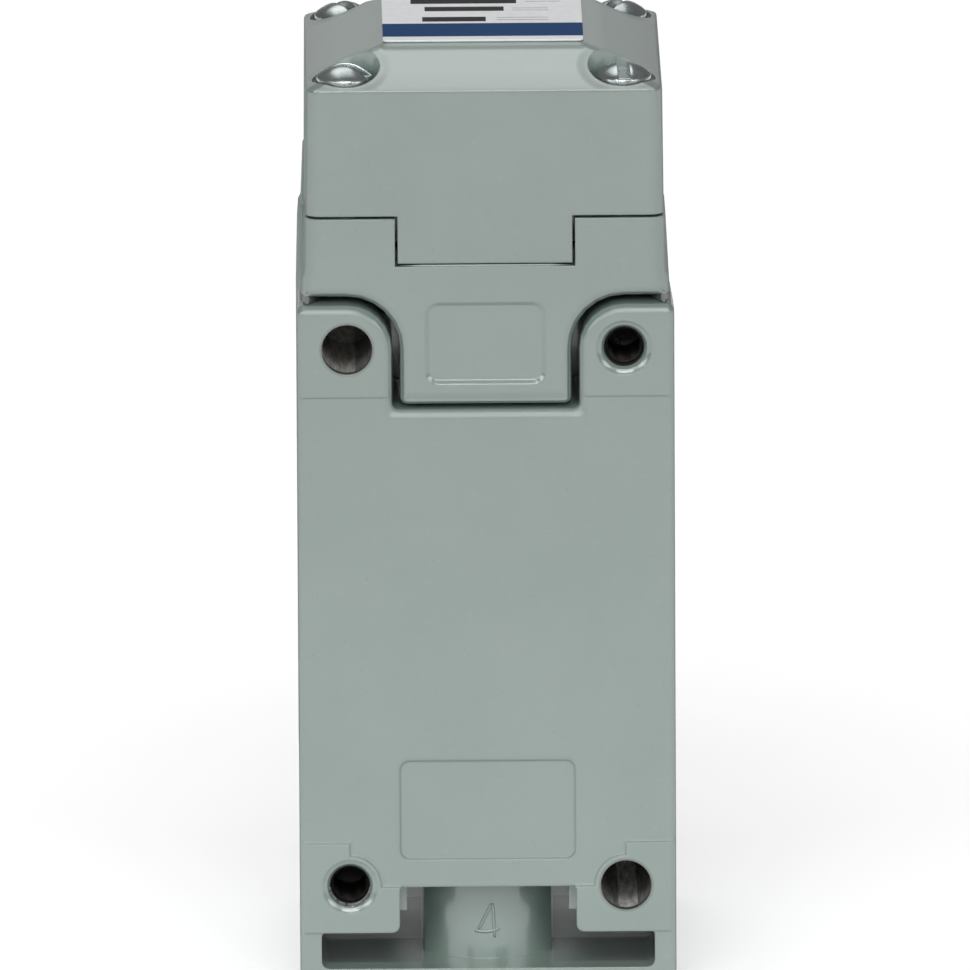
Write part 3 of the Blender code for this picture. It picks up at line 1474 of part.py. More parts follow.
def build_screws():
    head_sizes = (
        HEAD_SCREW_DIAMETER,
        HEAD_SCREW_HEAD,
        HEAD_SCREW_HEAD_HEIGHT,
        HEAD_SCREW_SLOT,
    )
    # Seen from behind: the left slot is turned, the right one runs front to back
    turns = (math.radians(-25), math.radians(88), math.radians(40), math.radians(-60))
    for i, (x, depth) in enumerate(head_screw_places()):
        slotted_screw(
            f"head_screw_{i + 1}",
            head_sizes,
            "Z",
            (x, -depth),
            POCKET_FLOOR + FIT,
            HEAD_SCREW_END,
            turns[i],
            ZINC,
            segments=28,
        )
    body_sizes = (
        BODY_SCREW_DIAMETER,
        BODY_SCREW_HEAD,
        BODY_SCREW_HEAD_HEIGHT,
        BODY_SCREW_HEAD / 6,
    )
    places = ((-BODY_SCREW_X, BODY_SCREW_TOP_Z), (BODY_SCREW_X, BODY_SCREW_BOTTOM_Z))
    for i, place in enumerate(places):
        face = BASE_DEPTH - BODY_SCREW_HEAD_HEIGHT - SEAT + FIT
        slotted_screw(
            f"body_screw_{i + 1}",
            body_sizes,
            "Y",
            place,
            face,
            BODY_SCREW_END,
            0.5 + i,
            ZINC,
        )
    ground_sizes = (
        GROUND_SCREW_DIAMETER,
        GROUND_SCREW_HEAD,
        GROUND_SCREW_HEAD_HEIGHT,
        GROUND_SCREW_HEAD / 6,
    )
    face = BACK_WALL + GROUND_BOSS_HEIGHT + SEAT
    place = (GROUND_X, GROUND_Z)
    slotted_screw(
        "ground_screw", ground_sizes, "Y", place, face, BACK_WALL / 2, 0.8, GREEN
    )


def build_label():
    half = LABEL_WIDTH / 2
    corners = rectangle(half, -HEAD_AXIS_DEPTH - half, -HEAD_AXIS_DEPTH + half, 0.0)
    low = PLATEAU + LABEL_FILM
    return plate("label", corners, (low, low + LABEL_THICKNESS), "Z", LABEL)


def build():
    build_receptacle()
    build_receptacle_gasket()
    build_switch_body()
    build_head_housing()
    shaft = build_shaft()
    build_shaft_fittings()
    cam = build_cam()
    _, plunger, _, _ = build_plunger_group()
    pin, _ = build_pin_group()
    build_switch_block()
    carrier, bridges, _, _ = build_contacts()
    build_terminals()
    build_screws()
    build_label()

    # Each moving group hangs on an empty on its own axis
    axis_y = -HEAD_AXIS_DEPTH
    shaft_axis = joint_empty("shaft_axis", (0, axis_y, SHAFT_Z))
    carried_by(shaft_axis, shaft, cam, bpy.data.objects["shaft_clip"])
    plunger_axis = joint_empty("plunger_axis", (0, axis_y, PLUNGER_TOP))
    carried_by(plunger_axis, plunger)
    pin_axis = joint_empty("pin_axis", (0, axis_y, DECK))
    carried_by(pin_axis, pin)
    carrier_axis = joint_empty("carrier_axis", (0, -CONTACT_DEPTH, CARRIER_TOP))
    carried_by(carrier_axis, carrier, *bridges)


build()
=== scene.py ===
"""Looks of the plug-in rotary limit switch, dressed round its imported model.

Frame: metres, +Z up, the mounting plane is y = 0 and faces +Y, the shaft points to -Y.
A depth is a distance in front of the mounting plane, so it is -y.
"""

import json
import math

import bmesh
import bpy
import numpy as np
from mathutils import Euler, Matrix, Vector


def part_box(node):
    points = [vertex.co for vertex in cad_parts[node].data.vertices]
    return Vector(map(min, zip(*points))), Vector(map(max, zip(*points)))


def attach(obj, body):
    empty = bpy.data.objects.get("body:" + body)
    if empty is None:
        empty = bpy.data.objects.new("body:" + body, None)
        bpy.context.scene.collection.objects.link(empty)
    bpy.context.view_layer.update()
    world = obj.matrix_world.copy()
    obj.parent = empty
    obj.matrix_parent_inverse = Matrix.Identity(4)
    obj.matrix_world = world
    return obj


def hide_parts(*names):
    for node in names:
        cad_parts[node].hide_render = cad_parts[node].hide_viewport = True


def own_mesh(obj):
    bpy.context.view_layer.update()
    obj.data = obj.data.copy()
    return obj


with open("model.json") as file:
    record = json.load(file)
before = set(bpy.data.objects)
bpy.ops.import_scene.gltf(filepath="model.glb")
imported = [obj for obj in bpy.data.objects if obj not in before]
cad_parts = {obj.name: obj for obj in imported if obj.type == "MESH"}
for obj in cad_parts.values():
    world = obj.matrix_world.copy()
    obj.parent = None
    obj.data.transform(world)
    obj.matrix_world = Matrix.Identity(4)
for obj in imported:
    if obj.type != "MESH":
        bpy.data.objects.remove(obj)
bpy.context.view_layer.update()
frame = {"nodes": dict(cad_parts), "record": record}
NODES = frame["nodes"]
SCENE = bpy.context.scene
TURN = 2 * math.pi

# Mounting holes of the receptacle
HOLE_X = 0.015
HOLE_Z = 0.030
CLEAR_RADIUS = 0.00275
TAPPED_RADIUS = 0.00215
TAPPED_DEPTH = 0.0100
THREAD_PITCH = 0.0007
THREAD_CUT = 0.00035
THREAD_ROOT = TAPPED_RADIUS - 0.00006
THREAD_WALL = 0.00004
THREAD_START = 0.0013
THREAD_LENGTH = TAPPED_DEPTH - 0.0028

# Notch between the ears and the body's tongue in it
EAR_RADIUS = 0.0049
EAR_GAP = 0.0008
NOTCH_LEDGE = 0.0233
NOTCH_SLOPE = 0.42

# Webs in the gap over the ears and the edge under the head's tab
GAP_WEB_OUTER = 0.0195
GAP_WEB_LENGTH = 0.0022
GAP_WEB_LOW = 0.03495
GAP_WEB_HIGH = 0.0361
GAP_WEB_THICKNESS = 0.0015
TAB_SEAT_HALF = 0.0093
TAB_SEAT_DEPTH = 0.00062
TAB_SEAT_Z = 0.03917
TAB_SEAT_RADIUS = 0.00013

# Low steps on the rear face
STEP_HEIGHT = 0.00012
REAR_DEPTH = 0.0012
FOOT_PAD_TOP = -0.0252
COLLAR_RADIUS = 0.0034
CAVITY_TOP = -0.0301
CAVITY_HALF = 0.0096
PANEL_HALF_WIDTH = 0.0095
PANEL_HALF_HEIGHT = 0.0055
PANEL_MIDDLE = -0.0215
PANEL_CORNER = 0.0010

# Round-faced boss in the cavity and the strokes of its cast digit, as x and z
BOSS_RADIUS = 0.0082
BOSS_FACE_DEPTH = 0.0042
DIGIT_RADIUS = 0.00018
DIGIT_STROKES = [
    [(-0.00052, -0.03300), (-0.00062, -0.03500), (-0.00075, -0.03695)],
    [(-0.00040, -0.03300), (0.00040, -0.03470), (0.00105, -0.03600)],
    [(0.00150, -0.03612), (0.00010, -0.03622), (-0.00140, -0.03590)],
]

# Head, its screws and the shaft
SHAFT_Z = 0.0524
SHAFT_RADIUS = 0.0040
JOURNAL_RADIUS = 0.0030
HEAD_AXIS_DEPTH = 0.0200
SERRATIONS = 24
SERRATED_LENGTH = 0.0110
SERRATION_CUT = 0.0004
HEAD_RIM = 0.0586
HEAD_SCREW_X = 0.0150
POCKET_MOUTH_RADIUS = 0.0040
POCKET_MOUTH_SINK = 0.00030
SHANK_RADIUS = 0.00195
SLOT_ROUNDING = 0.00012

# The outer side walls lie beyond this distance from the middle
FLANK_X = 0.0186

# Printed areas of the label in mm: left and right, then start and end from its rear edge
LABEL_BAND = [(-20, 20, 1.65, 7.9)]
LABEL_DARK = [(-0.4, 6.5, 8.8, 11.0), (-2.4, 6.2, 13.8, 15.9), (-3.8, 7.7, 17.4, 20.6)]
LABEL_RULES = [
    (-7.2, -1.6, 9.4, 9.6),
    (-7.2, -1.6, 10.5, 10.7),
    (-7.2, -3.3, 14.0, 14.2),
    (-7.2, -3.3, 15.0, 15.2),
    (-8.6, -4.8, 18.2, 18.4),
    (-8.6, -4.8, 19.4, 19.6),
]
LABEL_CORNER = 0.0006
LABEL_BEVEL = 0.00004

# Camera fitted to the mounting holes in the photograph
CAMERA_ELEVATION = 13.8
CAMERA_YAW = 0.6
CAMERA_ROLL = -0.28
CAMERA_DISTANCE = 3.5
CAMERA_LENS = 1199.4
SENSOR = 36.0
AIM = Vector((0.00013, 0.0, 0.01485))

# Floor and light
FLOOR_Z = -0.0421
FLOOR_HALF = 4.0
LAMP_DISTANCE = 4.4
WORLD_STRENGTH = 0.17

# Lamps: name, azimuth and elevation in degrees, width and height in metres, radiance
LAMPS = [
    ("left", 47, 24, 2.4, 1.6, 3.3),
    ("right", -47, 24, 2.4, 1.6, 2.8),
    ("top", 2, 46, 3.0, 1.6, 4.9),
    ("over", 172, 62, 2.7, 2.7, 1.45),
    ("front", 4, 22, 2.4, 1.0, 3.7),
    ("behind", 177, 11, 2.1, 1.3, 0.28),
]


class Socket:
    """A shader socket in Python arithmetic: each operator adds its Math node."""

    def __init__(self, finish, socket):
        self.finish = finish
        self.socket = socket

    def math(self, operation, first, second=0.0, clamp=False):
        settings = {"operation": operation, "use_clamp": clamp}
        return self.finish.node("Math", settings, {0: first, 1: second})

    def __add__(self, other):
        return self.math("ADD", self, other)

    __radd__ = __add__

    def __sub__(self, other):
        return self.math("SUBTRACT", self, other)

    def __rsub__(self, other):
        return self.math("SUBTRACT", other, self)

    def __mul__(self, other):
        return self.math("MULTIPLY", self, other)

    __rmul__ = __mul__

    def __truediv__(self, other):
        return self.math("DIVIDE", self, other)

    def __rtruediv__(self, other):
        return self.math("DIVIDE", other, self)

    def __lt__(self, other):
        return self.math("LESS_THAN", self, other)

    def __gt__(self, other):
        return self.math("GREATER_THAN", self, other)

    def most(self, other):
        return self.math("MAXIMUM", self, other)

    def least(self, other):
        return self.math("MINIMUM", self, other)

    def root(self):
        return self.math("SQRT", self)

    def size(self):
        """The value without its sign."""
        return self.most(0 - self)

    def eased(self, low, high):
        """0 below low, 1 above high and an S-curve between them."""
        kind = {"interpolation_type": "SMOOTHSTEP"}
        return self.finish.node("MapRange", kind, {0: self, 1: low, 2: high})

    def ramp(self, low, high):
        """0 below low, 1 above high and straight between them."""
        return self.math("MULTIPLY", self - low, 1 / (high - low), clamp=True)


class Finish:
    """One material, with one method that adds any node to it."""

    def __init__(self, name, **constants):
        self.material = bpy.data.materials.new(name)
        self.material.use_nodes = True
        self.tree = self.material.node_tree
        self.shader = self.tree.nodes["Principled BSDF"]
        for socket, value in constants.items():
            self.shader.inputs[socket.replace("_", " ")].default_value = value

    def node(self, kind, settings=None, inputs=None, output=0):
        node = self.tree.nodes.new("ShaderNode" + kind)
        for key, value in (settings or {}).items():
            if key == "stops":
                self.set_stops(node.color_ramp, value)
            else:
                setattr(node, key, value)
        for key, value in (inputs or {}).items():
            if isinstance(value, Socket):
                self.tree.links.new(value.socket, node.inputs[key])
            else:
                node.inputs[key].default_value = value
        return Socket(self, node.outputs[output])

    def set_stops(self, ramp, stops):
        while len(ramp.elements) < len(stops):
            ramp.elements.new(1.0)
        for element, (place, colour) in zip(ramp.elements, stops):
            element.position = place
            element.color = (*colour, 1.0)

    def place(self, scale, shift):
        """Object coordinates, scaled and moved by a Mapping node."""
        coordinates = self.node("TexCoord", output="Object")
        return self.node("Mapping", None, {"Vector": coordinates, "Location": shift, "Scale": scale})

    def axes(self):
        """Object coordinates as three numbers in metres."""
        coordinates = self.node("TexCoord", output="Object")
        return [self.node("SeparateXYZ", None, {0: coordinates}, k) for k in range(3)]

    def noise(self, scale, detail, stretch=(1, 1, 1), shift=(0, 0, 0)):
        inputs = {"Vector": self.place(stretch, shift), "Scale": scale, "Detail": detail}
        return self.node("TexNoise", None, inputs)

    def mix(self, factor, first, second):
        """Colour from first to second as factor goes from 0 to 1."""
        first, second = [
            (*c, 1.0) if isinstance(c, tuple) and len(c) == 3 else c for c in (first, second)
        ]
        return self.node("Mix", {"data_type": "RGBA"}, {0: factor, 6: first, 7: second}, 2)

    def bump(self, height, depth, strength=1.0, normal=None):
        inputs = {"Height": height, "Distance": depth, "Strength": strength}
        if normal is not None:
            inputs["Normal"] = normal
        return self.node("Bump", None, inputs)

    def feed(self, **links):
        for name, value in links.items():
            self.tree.links.new(value.socket, self.shader.inputs[name.replace("_", " ")])
        return self.material


def span(first, second):
    """Length of the vector whose two parts are given."""
    return (first * first + second * second).root()


def near(x, z, cx, cz):
    """Distance in the mounting plane from the point (cx, cz)."""
    return span(x - cx, z - cz)


def soft_steps(across, y, z):
    """Height in metres that softens the low steps, the notch and the mouths of the screw pockets.

    Each is a function of the distance from its outline. Foot pads and panel are S-curves, negative
    inside. The notch's rim bends as the square of the distance and then falls straight, and the ear's
    arc meets the ledge in a rounded corner. A pocket's mouth is an S-curve round the screw's axis.
    """
    arm = (z - FOOT_PAD_TOP).most(HOLE_X - across)
    collar = near(across, z, HOLE_X, -HOLE_Z) - COLLAR_RADIUS
    inner = (z - CAVITY_TOP).most(CAVITY_HALF - across)
    pad = arm.least(collar).least(inner)

    panel_x = across - (PANEL_HALF_WIDTH - PANEL_CORNER)
    panel_z = (z - PANEL_MIDDLE).size() - (PANEL_HALF_HEIGHT - PANEL_CORNER)
    panel = span(panel_x.most(0.0), panel_z.most(0.0)) + panel_x.most(panel_z).least(0.0)
    panel = panel - PANEL_CORNER
    rise = (1 - pad.eased(-0.0002, 0.0006)) + panel.eased(-0.0003, 0.0006)

    ear = span((HOLE_X - across).most(0.0), (z - HOLE_Z).most(0.0)) - EAR_RADIUS
    ledge = z - NOTCH_LEDGE
    outline = ear.least(ledge).most(0.0) - span(ear.least(0.0), ledge.least(0.0))
    outline = outline.least(EAR_GAP - outline)
    bend = (outline + 0.0012).most(0.0).least(0.0005)
    fall = bend * bend / 0.0010 + (outline.least(-0.0003) + 0.0007).most(0.0)
    notch = fall * NOTCH_SLOPE * y.eased(-0.0030, -0.0010)

    pocket = near(across, (y + HEAD_AXIS_DEPTH).size(), HEAD_SCREW_X, HEAD_SCREW_X)
    mouth = pocket.eased(POCKET_MOUTH_RADIUS - 0.0003, POCKET_MOUTH_RADIUS + 0.0012)
    mouth = mouth * POCKET_MOUTH_SINK * (z > HEAD_RIM)
    return rise * STEP_HEIGHT * (y > -REAR_DEPTH) - notch + mouth


def enamel_finish():
    """Grey-green enamel on a die casting, bare where the holes were machined after painting."""
    paint = Finish("grey_green_enamel", Coat_Roughness=0.12, Coat_IOR=1.75, Specular_IOR_Level=1.0)
    x, y, z = paint.axes()
    across = x.size()
    clouds = paint.noise(70, 3)
    grain = paint.noise(900, 2)
    peel = paint.noise(1500, 2)
    casting = paint.noise(330, 3)
    specks = paint.noise(2600, 1, shift=(0.3, 0.1, 0.2))
    streaks = paint.noise(1800, 3, stretch=(1, 0.15, 1))
    chips = paint.noise(1700, 3)

    # Paint with faint clouds, specks and grain, and painted shade that makes it a little darker towards
    # the top
    colour = paint.mix(clouds.ramp(0.35, 0.65), (0.226, 0.296, 0.267), (0.245, 0.314, 0.286))
    colour = paint.mix((specks > 0.765) * 0.25, colour, (0.10, 0.11, 0.10))
    colour = paint.mix(grain.ramp(0.62, 0.85) * 0.10, colour, (0.42, 0.46, 0.44))
    shade = z.ramp(-0.030, 0.045) * (1 - z.ramp(0.0582, 0.0600))
    colour = paint.mix(shade * 0.22, colour, (0, 0, 0))

    # Painted shade under the lobes and at the ends of the gap over the ears: the colour goes nearly
    # black there
    painted_shade_under_lobes = z.ramp(-0.0402, -0.0375) * (z < -0.0345) * (y < -0.0030) * (across > 0.0072)
    painted_shade_under_lobes = painted_shade_under_lobes * (across < FLANK_X) * (y > -0.0400)
    painted_shade_gap_ends = (z > 0.0349) * (z < 0.0359) * (y > -0.0050) * (across > 0.0170)
    colour = paint.mix(painted_shade_under_lobes.most(painted_shade_gap_ends) * 0.8, colour, (0.03, 0.03, 0.03))

    # Distances from the axes of the holes, and the walls of the two kinds
    low_tapped = near(x, z, HOLE_X, -HOLE_Z)
    tapped = near(x, z, -HOLE_X, HOLE_Z).least(low_tapped)
    low_clear = near(x, z, -HOLE_X, -HOLE_Z)
    clear = near(x, z, HOLE_X, HOLE_Z).least(low_clear)
    tapped_bore = (tapped < TAPPED_RADIUS + 0.00006) * (y > -0.030) * (y < -0.0007)
    clear_bore = (clear < CLEAR_RADIUS + 0.00004) * (y < -0.0010)
    clear_bore = clear_bore * (y > -0.0400).most(z < 0)
    bore = tapped_bore.most(clear_bore)

    # Bare walls with streaky tone, darker in the low clear hole; painted shade and painted light in the
    # holes, marked below
    in_low_clear = low_clear < CLEAR_RADIUS + 0.0001
    painted_shade_third = (x < HOLE_X - 0.0009) * (x > 0)
    strip = in_low_clear * (x > -HOLE_X - 0.0013) * (x < -HOLE_X + 0.0008)
    strip_painted_light = paint.mix(streaks.ramp(0.35, 0.6), (0.55, 0.55, 0.54), (0.95, 0.95, 0.94))
    wall_with_painted_light_and_shade = paint.mix(streaks.ramp(0.3, 0.7), (0.18, 0.175, 0.16), (0.50, 0.48, 0.44))
    # Painted shade: near black on the far third of the upper clear hole and in the tapped bores
    wall_with_painted_light_and_shade = paint.mix(painted_shade_third * 0.6, wall_with_painted_light_and_shade, (0.020, 0.024, 0.022))
    wall_with_painted_light_and_shade = paint.mix(tapped_bore, wall_with_painted_light_and_shade, (0.012, 0.013, 0.011))
    wall_with_painted_light_and_shade = paint.mix(in_low_clear * 0.45, wall_with_painted_light_and_shade, (0.02, 0.02, 0.02))
    # Painted light: the strip's colour is light, for the lit far wall of the low clear hole; it also
    # gets metal and bumps below
    wall_with_painted_light_and_shade = paint.mix(strip, wall_with_painted_light_and_shade, strip_painted_light)

    # Painted shade: a thin dark ring round the clear holes, for their shaded rounded mouths. A chipped
    # bright burr under the low tapped one
    painted_rim_shade = (1 - clear.ramp(CLEAR_RADIUS, CLEAR_RADIUS + 0.00036)) * (y > -0.0010)
    burr = low_tapped + chips * 0.0005 < TAPPED_RADIUS + 0.00050
    burr = burr * (low_tapped > TAPPED_RADIUS - 0.00002) * (z < -HOLE_Z - 0.0002)
    burr = burr * (chips > 0.42) * (y > -0.0012)
    colour = paint.mix(painted_rim_shade * 0.7, colour, (0.06, 0.06, 0.056))
    colour = paint.mix(bore, colour, wall_with_painted_light_and_shade)
    colour = paint.mix(burr, colour, (0.72, 0.73, 0.72))

    # Side walls, which have a thin dull coat
    facing = paint.node("TexCoord", output="Normal")
    sideways = paint.node("SeparateXYZ", None, {0: facing}).size()
    flank = sideways.ramp(0.80, 0.97) * (across > FLANK_X)

    edges = paint.node("Bevel", {"samples": 6}, {"Radius": 0.00032})
    relief = paint.bump(peel * 0.5 + casting, 0.000035, 0.4, edges)
    relief = paint.bump(soft_steps(across, y, z), 1.0, 1.0, relief)
    relief = paint.bump(streaks * bore + chips * burr + chips * strip * 2, 0.00025, 0.8, relief)
    return paint.feed(
        Base_Color=colour,
        Metallic=burr * 0.95 + strip * 0.5,
        Coat_Weight=0.9 - bore.most(flank) * 0.9,
        Roughness=clouds * 0.08 + 0.28 + bore.most(flank * 1.4) * 0.25,
        Normal=relief,
    )


def rubber_finish():
    """Black moulded rubber: matt, faintly dusty, with a fine skin."""
    rubber = Finish("black_rubber", Specular_IOR_Level=0.35)
    skin = rubber.noise(2500, 3)
    dust = rubber.noise(160, 4)
    return rubber.feed(
        Base_Color=rubber.mix(dust.ramp(0.45, 0.75), (0.016, 0.016, 0.017), (0.045, 0.044, 0.042)),
        Roughness=skin * 0.2 + 0.62,
        Normal=rubber.bump(skin, 0.00004, 0.5),
    )


def moulding_finish():
    """Dark thermoset moulding with flow marks and a satin face."""
    mould = Finish("black_thermoset")
    flow = mould.noise(120, 3, stretch=(1, 1, 0.3))
    grain = mould.noise(3200, 2)
    return mould.feed(
        Base_Color=mould.mix(flow.ramp(0.35, 0.7), (0.026, 0.025, 0.024), (0.048, 0.046, 0.043)),
        Roughness=flow * 0.2 + 0.36,
        Normal=mould.bump(grain, 0.00003, 0.5),
    )


def metal_finish(name, dark, bright, roughness, grain, stretch, depth):
    """Bare or plated metal: tone and gloss vary with stains, and the tool marks run along stretch."""
    metal = Finish(name, Metallic=1.0)
    stain = metal.noise(230, 4)
    marks = metal.noise(grain, 3, stretch=stretch)
    return metal.feed(
        Base_Color=metal.mix(stain.ramp(0.3, 0.7), dark, bright),
        Roughness=stain * 0.14 + marks * 0.12 + (roughness - 0.13),
        Normal=metal.bump(marks, depth, 0.6),
    )


def zinc_finish():
    """Bright zinc plate: silvery with a blue and a straw tinge, and fine rolled marks."""
    zinc = Finish("bright_zinc_plate", Metallic=1.0)
    tinge = zinc.noise(330, 3)
    stain = zinc.noise(900, 3, shift=(0.2, 0, 0))
    marks = zinc.noise(5200, 2)
    stops = [
        (0.30, (0.36, 0.41, 0.43)),
        (0.48, (0.50, 0.55, 0.55)),
        (0.70, (0.60, 0.63, 0.61)),
    ]
    tone = zinc.node("ValToRGB", {"stops": stops}, {0: tinge})
    return zinc.feed(
        Base_Color=zinc.mix(stain.ramp(0.52, 0.72) * 0.45, tone, (0.30, 0.33, 0.33)),
        Roughness=stain * 0.18 + 0.17,
        Normal=zinc.bump(marks * 0.4 + stain, 0.000035, 0.5),
    )


def label_finish(rear_edge):
    """Printed film: a plain band along the rear edge, plain dark fields and thin ruled lines."""
    film = Finish("printed_film", Roughness=0.5, Specular_IOR_Level=0.03)
    x, y, _ = film.axes()
    inward = rear_edge - y
    fibre = film.noise(1500, 3)
    paper = film.mix(fibre.ramp(0.3, 0.7), (0.80, 0.81, 0.82), (0.86, 0.87, 0.88))

    def printed(boxes):
        """1 inside any of the boxes, which give left, right, start and end in mm."""
        inside = 0.0
        for box in boxes:
            left, right, start, end = (edge * 0.001 for edge in box)
            field = (x > left) * (x < right) * (inward > start) * (inward < end)
            inside = field.most(inside)
        return inside

    colour = film.mix(printed(LABEL_RULES), paper, (0.30, 0.30, 0.31))
    colour = film.mix(printed(LABEL_DARK), colour, (0.045, 0.043, 0.045))
    colour = film.mix(printed(LABEL_BAND), colour, (0.020, 0.062, 0.170))
    return film.feed(Base_Color=colour, Normal=film.bump(fibre, 0.00001, 0.4))


FINISHES = {
    "enamel": enamel_finish(),
    "rubber": rubber_finish(),
    "moulding": moulding_finish(),
    "zinc": zinc_finish(),
    "brass": metal_finish(
        "rolled_brass", (0.62, 0.44, 0.18), (0.82, 0.64, 0.32), 0.28, 2600, (1, 0.1, 1), 0.00003
    ),
    "bronze": metal_finish(
        "sintered_bronze", (0.42, 0.27, 0.13), (0.62, 0.43, 0.24), 0.42, 3800, (1, 1, 1), 0.00006
    ),
    "green_steel": metal_finish(
        "green_plated_steel", (0.03, 0.20, 0.07), (0.08, 0.36, 0.14), 0.30, 3000, (1, 1, 1), 0.00003
    ),
    "steel": metal_finish(
        "turned_steel", (0.42, 0.43, 0.44), (0.62, 0.63, 0.64), 0.27, 1500, (1, 14, 1), 0.00004
    ),
    "label": label_finish(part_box("label")[1].y),
    # Painted shade: the thread's colour is near black, for the shade deep in the tapped holes
    "thread_painted_shade": metal_finish(
        "thread_painted_shade", (0.02, 0.02, 0.018), (0.06, 0.058, 0.052), 0.50, 2600, (1, 1, 1), 0.00003
    ),
}
SLOT_OF = {row["node"]: row["material_slot"] for row in frame["record"]["subparts"]}
BODY_OF = {
    node: body for body, nodes in frame["record"]["behaviour"]["bodies"].items() for node in nodes
}


def dress(obj, slot, finish=None):
    obj.data.materials.clear()
    obj.data.materials.append(FINISHES[finish or slot])
    return obj


def grid_faces(rows, columns, wrap_rows=False):
    """Quads between neighbours of a grid of closed rings; wrap_rows joins the last ring to the first."""
    r, c = np.meshgrid(
        np.arange(rows if wrap_rows else rows - 1), np.arange(columns), indexing="ij"
    )
    r_next = (r + 1) % rows
    c_next = (c + 1) % columns
    corners = [r * columns + c, r * columns + c_next, r_next * columns + c_next, r_next * columns + c]
    return np.stack(corners, -1).reshape(-1, 4)


def capped(rows, columns):
    """The faces of such a grid with its first and last ring filled."""
    last = (rows - 1) * columns
    ends = [[*range(columns)][::-1], [*range(last, last + columns)]]
    return [*grid_faces(rows, columns).tolist(), *ends]


def piece(name, points, faces, node, finish=None, sharp=35):
    """A mesh piece on the body of a CAD node, doubles merged and faces turned outwards."""
    mesh = bpy.data.meshes.new(name)
    mesh.from_pydata(points.reshape(-1, 3).tolist(), [], [list(map(int, f)) for f in faces])
    shell = bmesh.new()
    shell.from_mesh(mesh)
    bmesh.ops.remove_doubles(shell, verts=shell.verts, dist=1e-7)
    bmesh.ops.dissolve_degenerate(shell, edges=shell.edges, dist=1e-8)
    bmesh.ops.recalc_face_normals(shell, faces=shell.faces)
    shell.to_mesh(mesh)
    shell.free()
    mesh.shade_smooth()
    mesh.set_sharp_from_angle(angle=math.radians(sharp))
    obj = bpy.data.objects.new(name, mesh)
    SCENE.collection.objects.link(obj)
    dress(obj, SLOT_OF[node], finish)
    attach(obj, BODY_OF[node])
    return obj


def turned(name, profile, origin, axis, node, sides=32):
    """A (radius, height) profile carried round an axis: the ring angle is one parameter."""
    profile = np.asarray(profile, float)
    angle = np.linspace(0, TURN, sides, endpoint=False)
    radius, height = profile[:, 0, None], profile[:, 1, None] * np.ones(sides)
    local = np.stack([radius * np.cos(angle), radius * np.sin(angle), height], -1)
    turn = np.array(Vector(axis).to_track_quat("Z", "Y").to_matrix())
    points = local @ turn.T + np.array(origin)
    return piece(name, points, grid_faces(len(profile), sides), node)


def tube(name, path, radius, node, sides):
    """A circle carried along a path, square to its direction, with a radius for each point."""
    ahead = np.roll(path, -1, 0) - np.roll(path, 1, 0)
    ahead[0] = path[1] - path[0]
    ahead[-1] = path[-1] - path[-2]
    ahead /= np.linalg.norm(ahead, axis=1, keepdims=True)
    side = np.cross(ahead, (0.0, 0.0, 1.0))
    side += (np.linalg.norm(side, axis=1, keepdims=True) < 1e-6) * np.array((1.0, 0.0, 0.0))
    side /= np.linalg.norm(side, axis=1, keepdims=True)
    over = np.cross(side, ahead)
    angle = np.linspace(0, TURN, sides, endpoint=False)[None, :, None]
    ring = np.cos(angle) * side[:, None] + np.sin(angle) * over[:, None]
    points = path[:, None] + radius[:, None, None] * ring
    return piece(name, points, grid_faces(len(path), sides), node)


def casting(node):
    """A merged copy of a CAD casting: its flat faces are joined and its round ones shaded smooth."""
    source = NODES[node].data
    points = np.empty(len(source.vertices) * 3)
    source.vertices.foreach_get("co", points)
    corners = np.empty(len(source.loops), int)
    source.loops.foreach_get("vertex_index", corners)
    mesh = bpy.data.meshes.new(node + "_skin")
    mesh.from_pydata(points.reshape(-1, 3).tolist(), [], corners.reshape(-1, 3).tolist())
    shell = bmesh.new()
    shell.from_mesh(mesh)
    bmesh.ops.remove_doubles(shell, verts=shell.verts, dist=1e-6)
    bmesh.ops.dissolve_limit(
        shell, angle_limit=math.radians(0.6), verts=shell.verts, edges=shell.edges
    )
    shell.to_mesh(mesh)
    shell.free()
    mesh.shade_smooth()
    mesh.set_sharp_from_angle(angle=math.radians(29))
    obj = bpy.data.objects.new(node + "_skin", mesh)
    SCENE.collection.objects.link(obj)
    normals = obj.modifiers.new("flat faces stay flat", "WEIGHTED_NORMAL")
    normals.keep_sharp = True
    normals.weight = 80
    dress(obj, SLOT_OF[node])
    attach(obj, BODY_OF[node])
    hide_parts(node)
    return obj


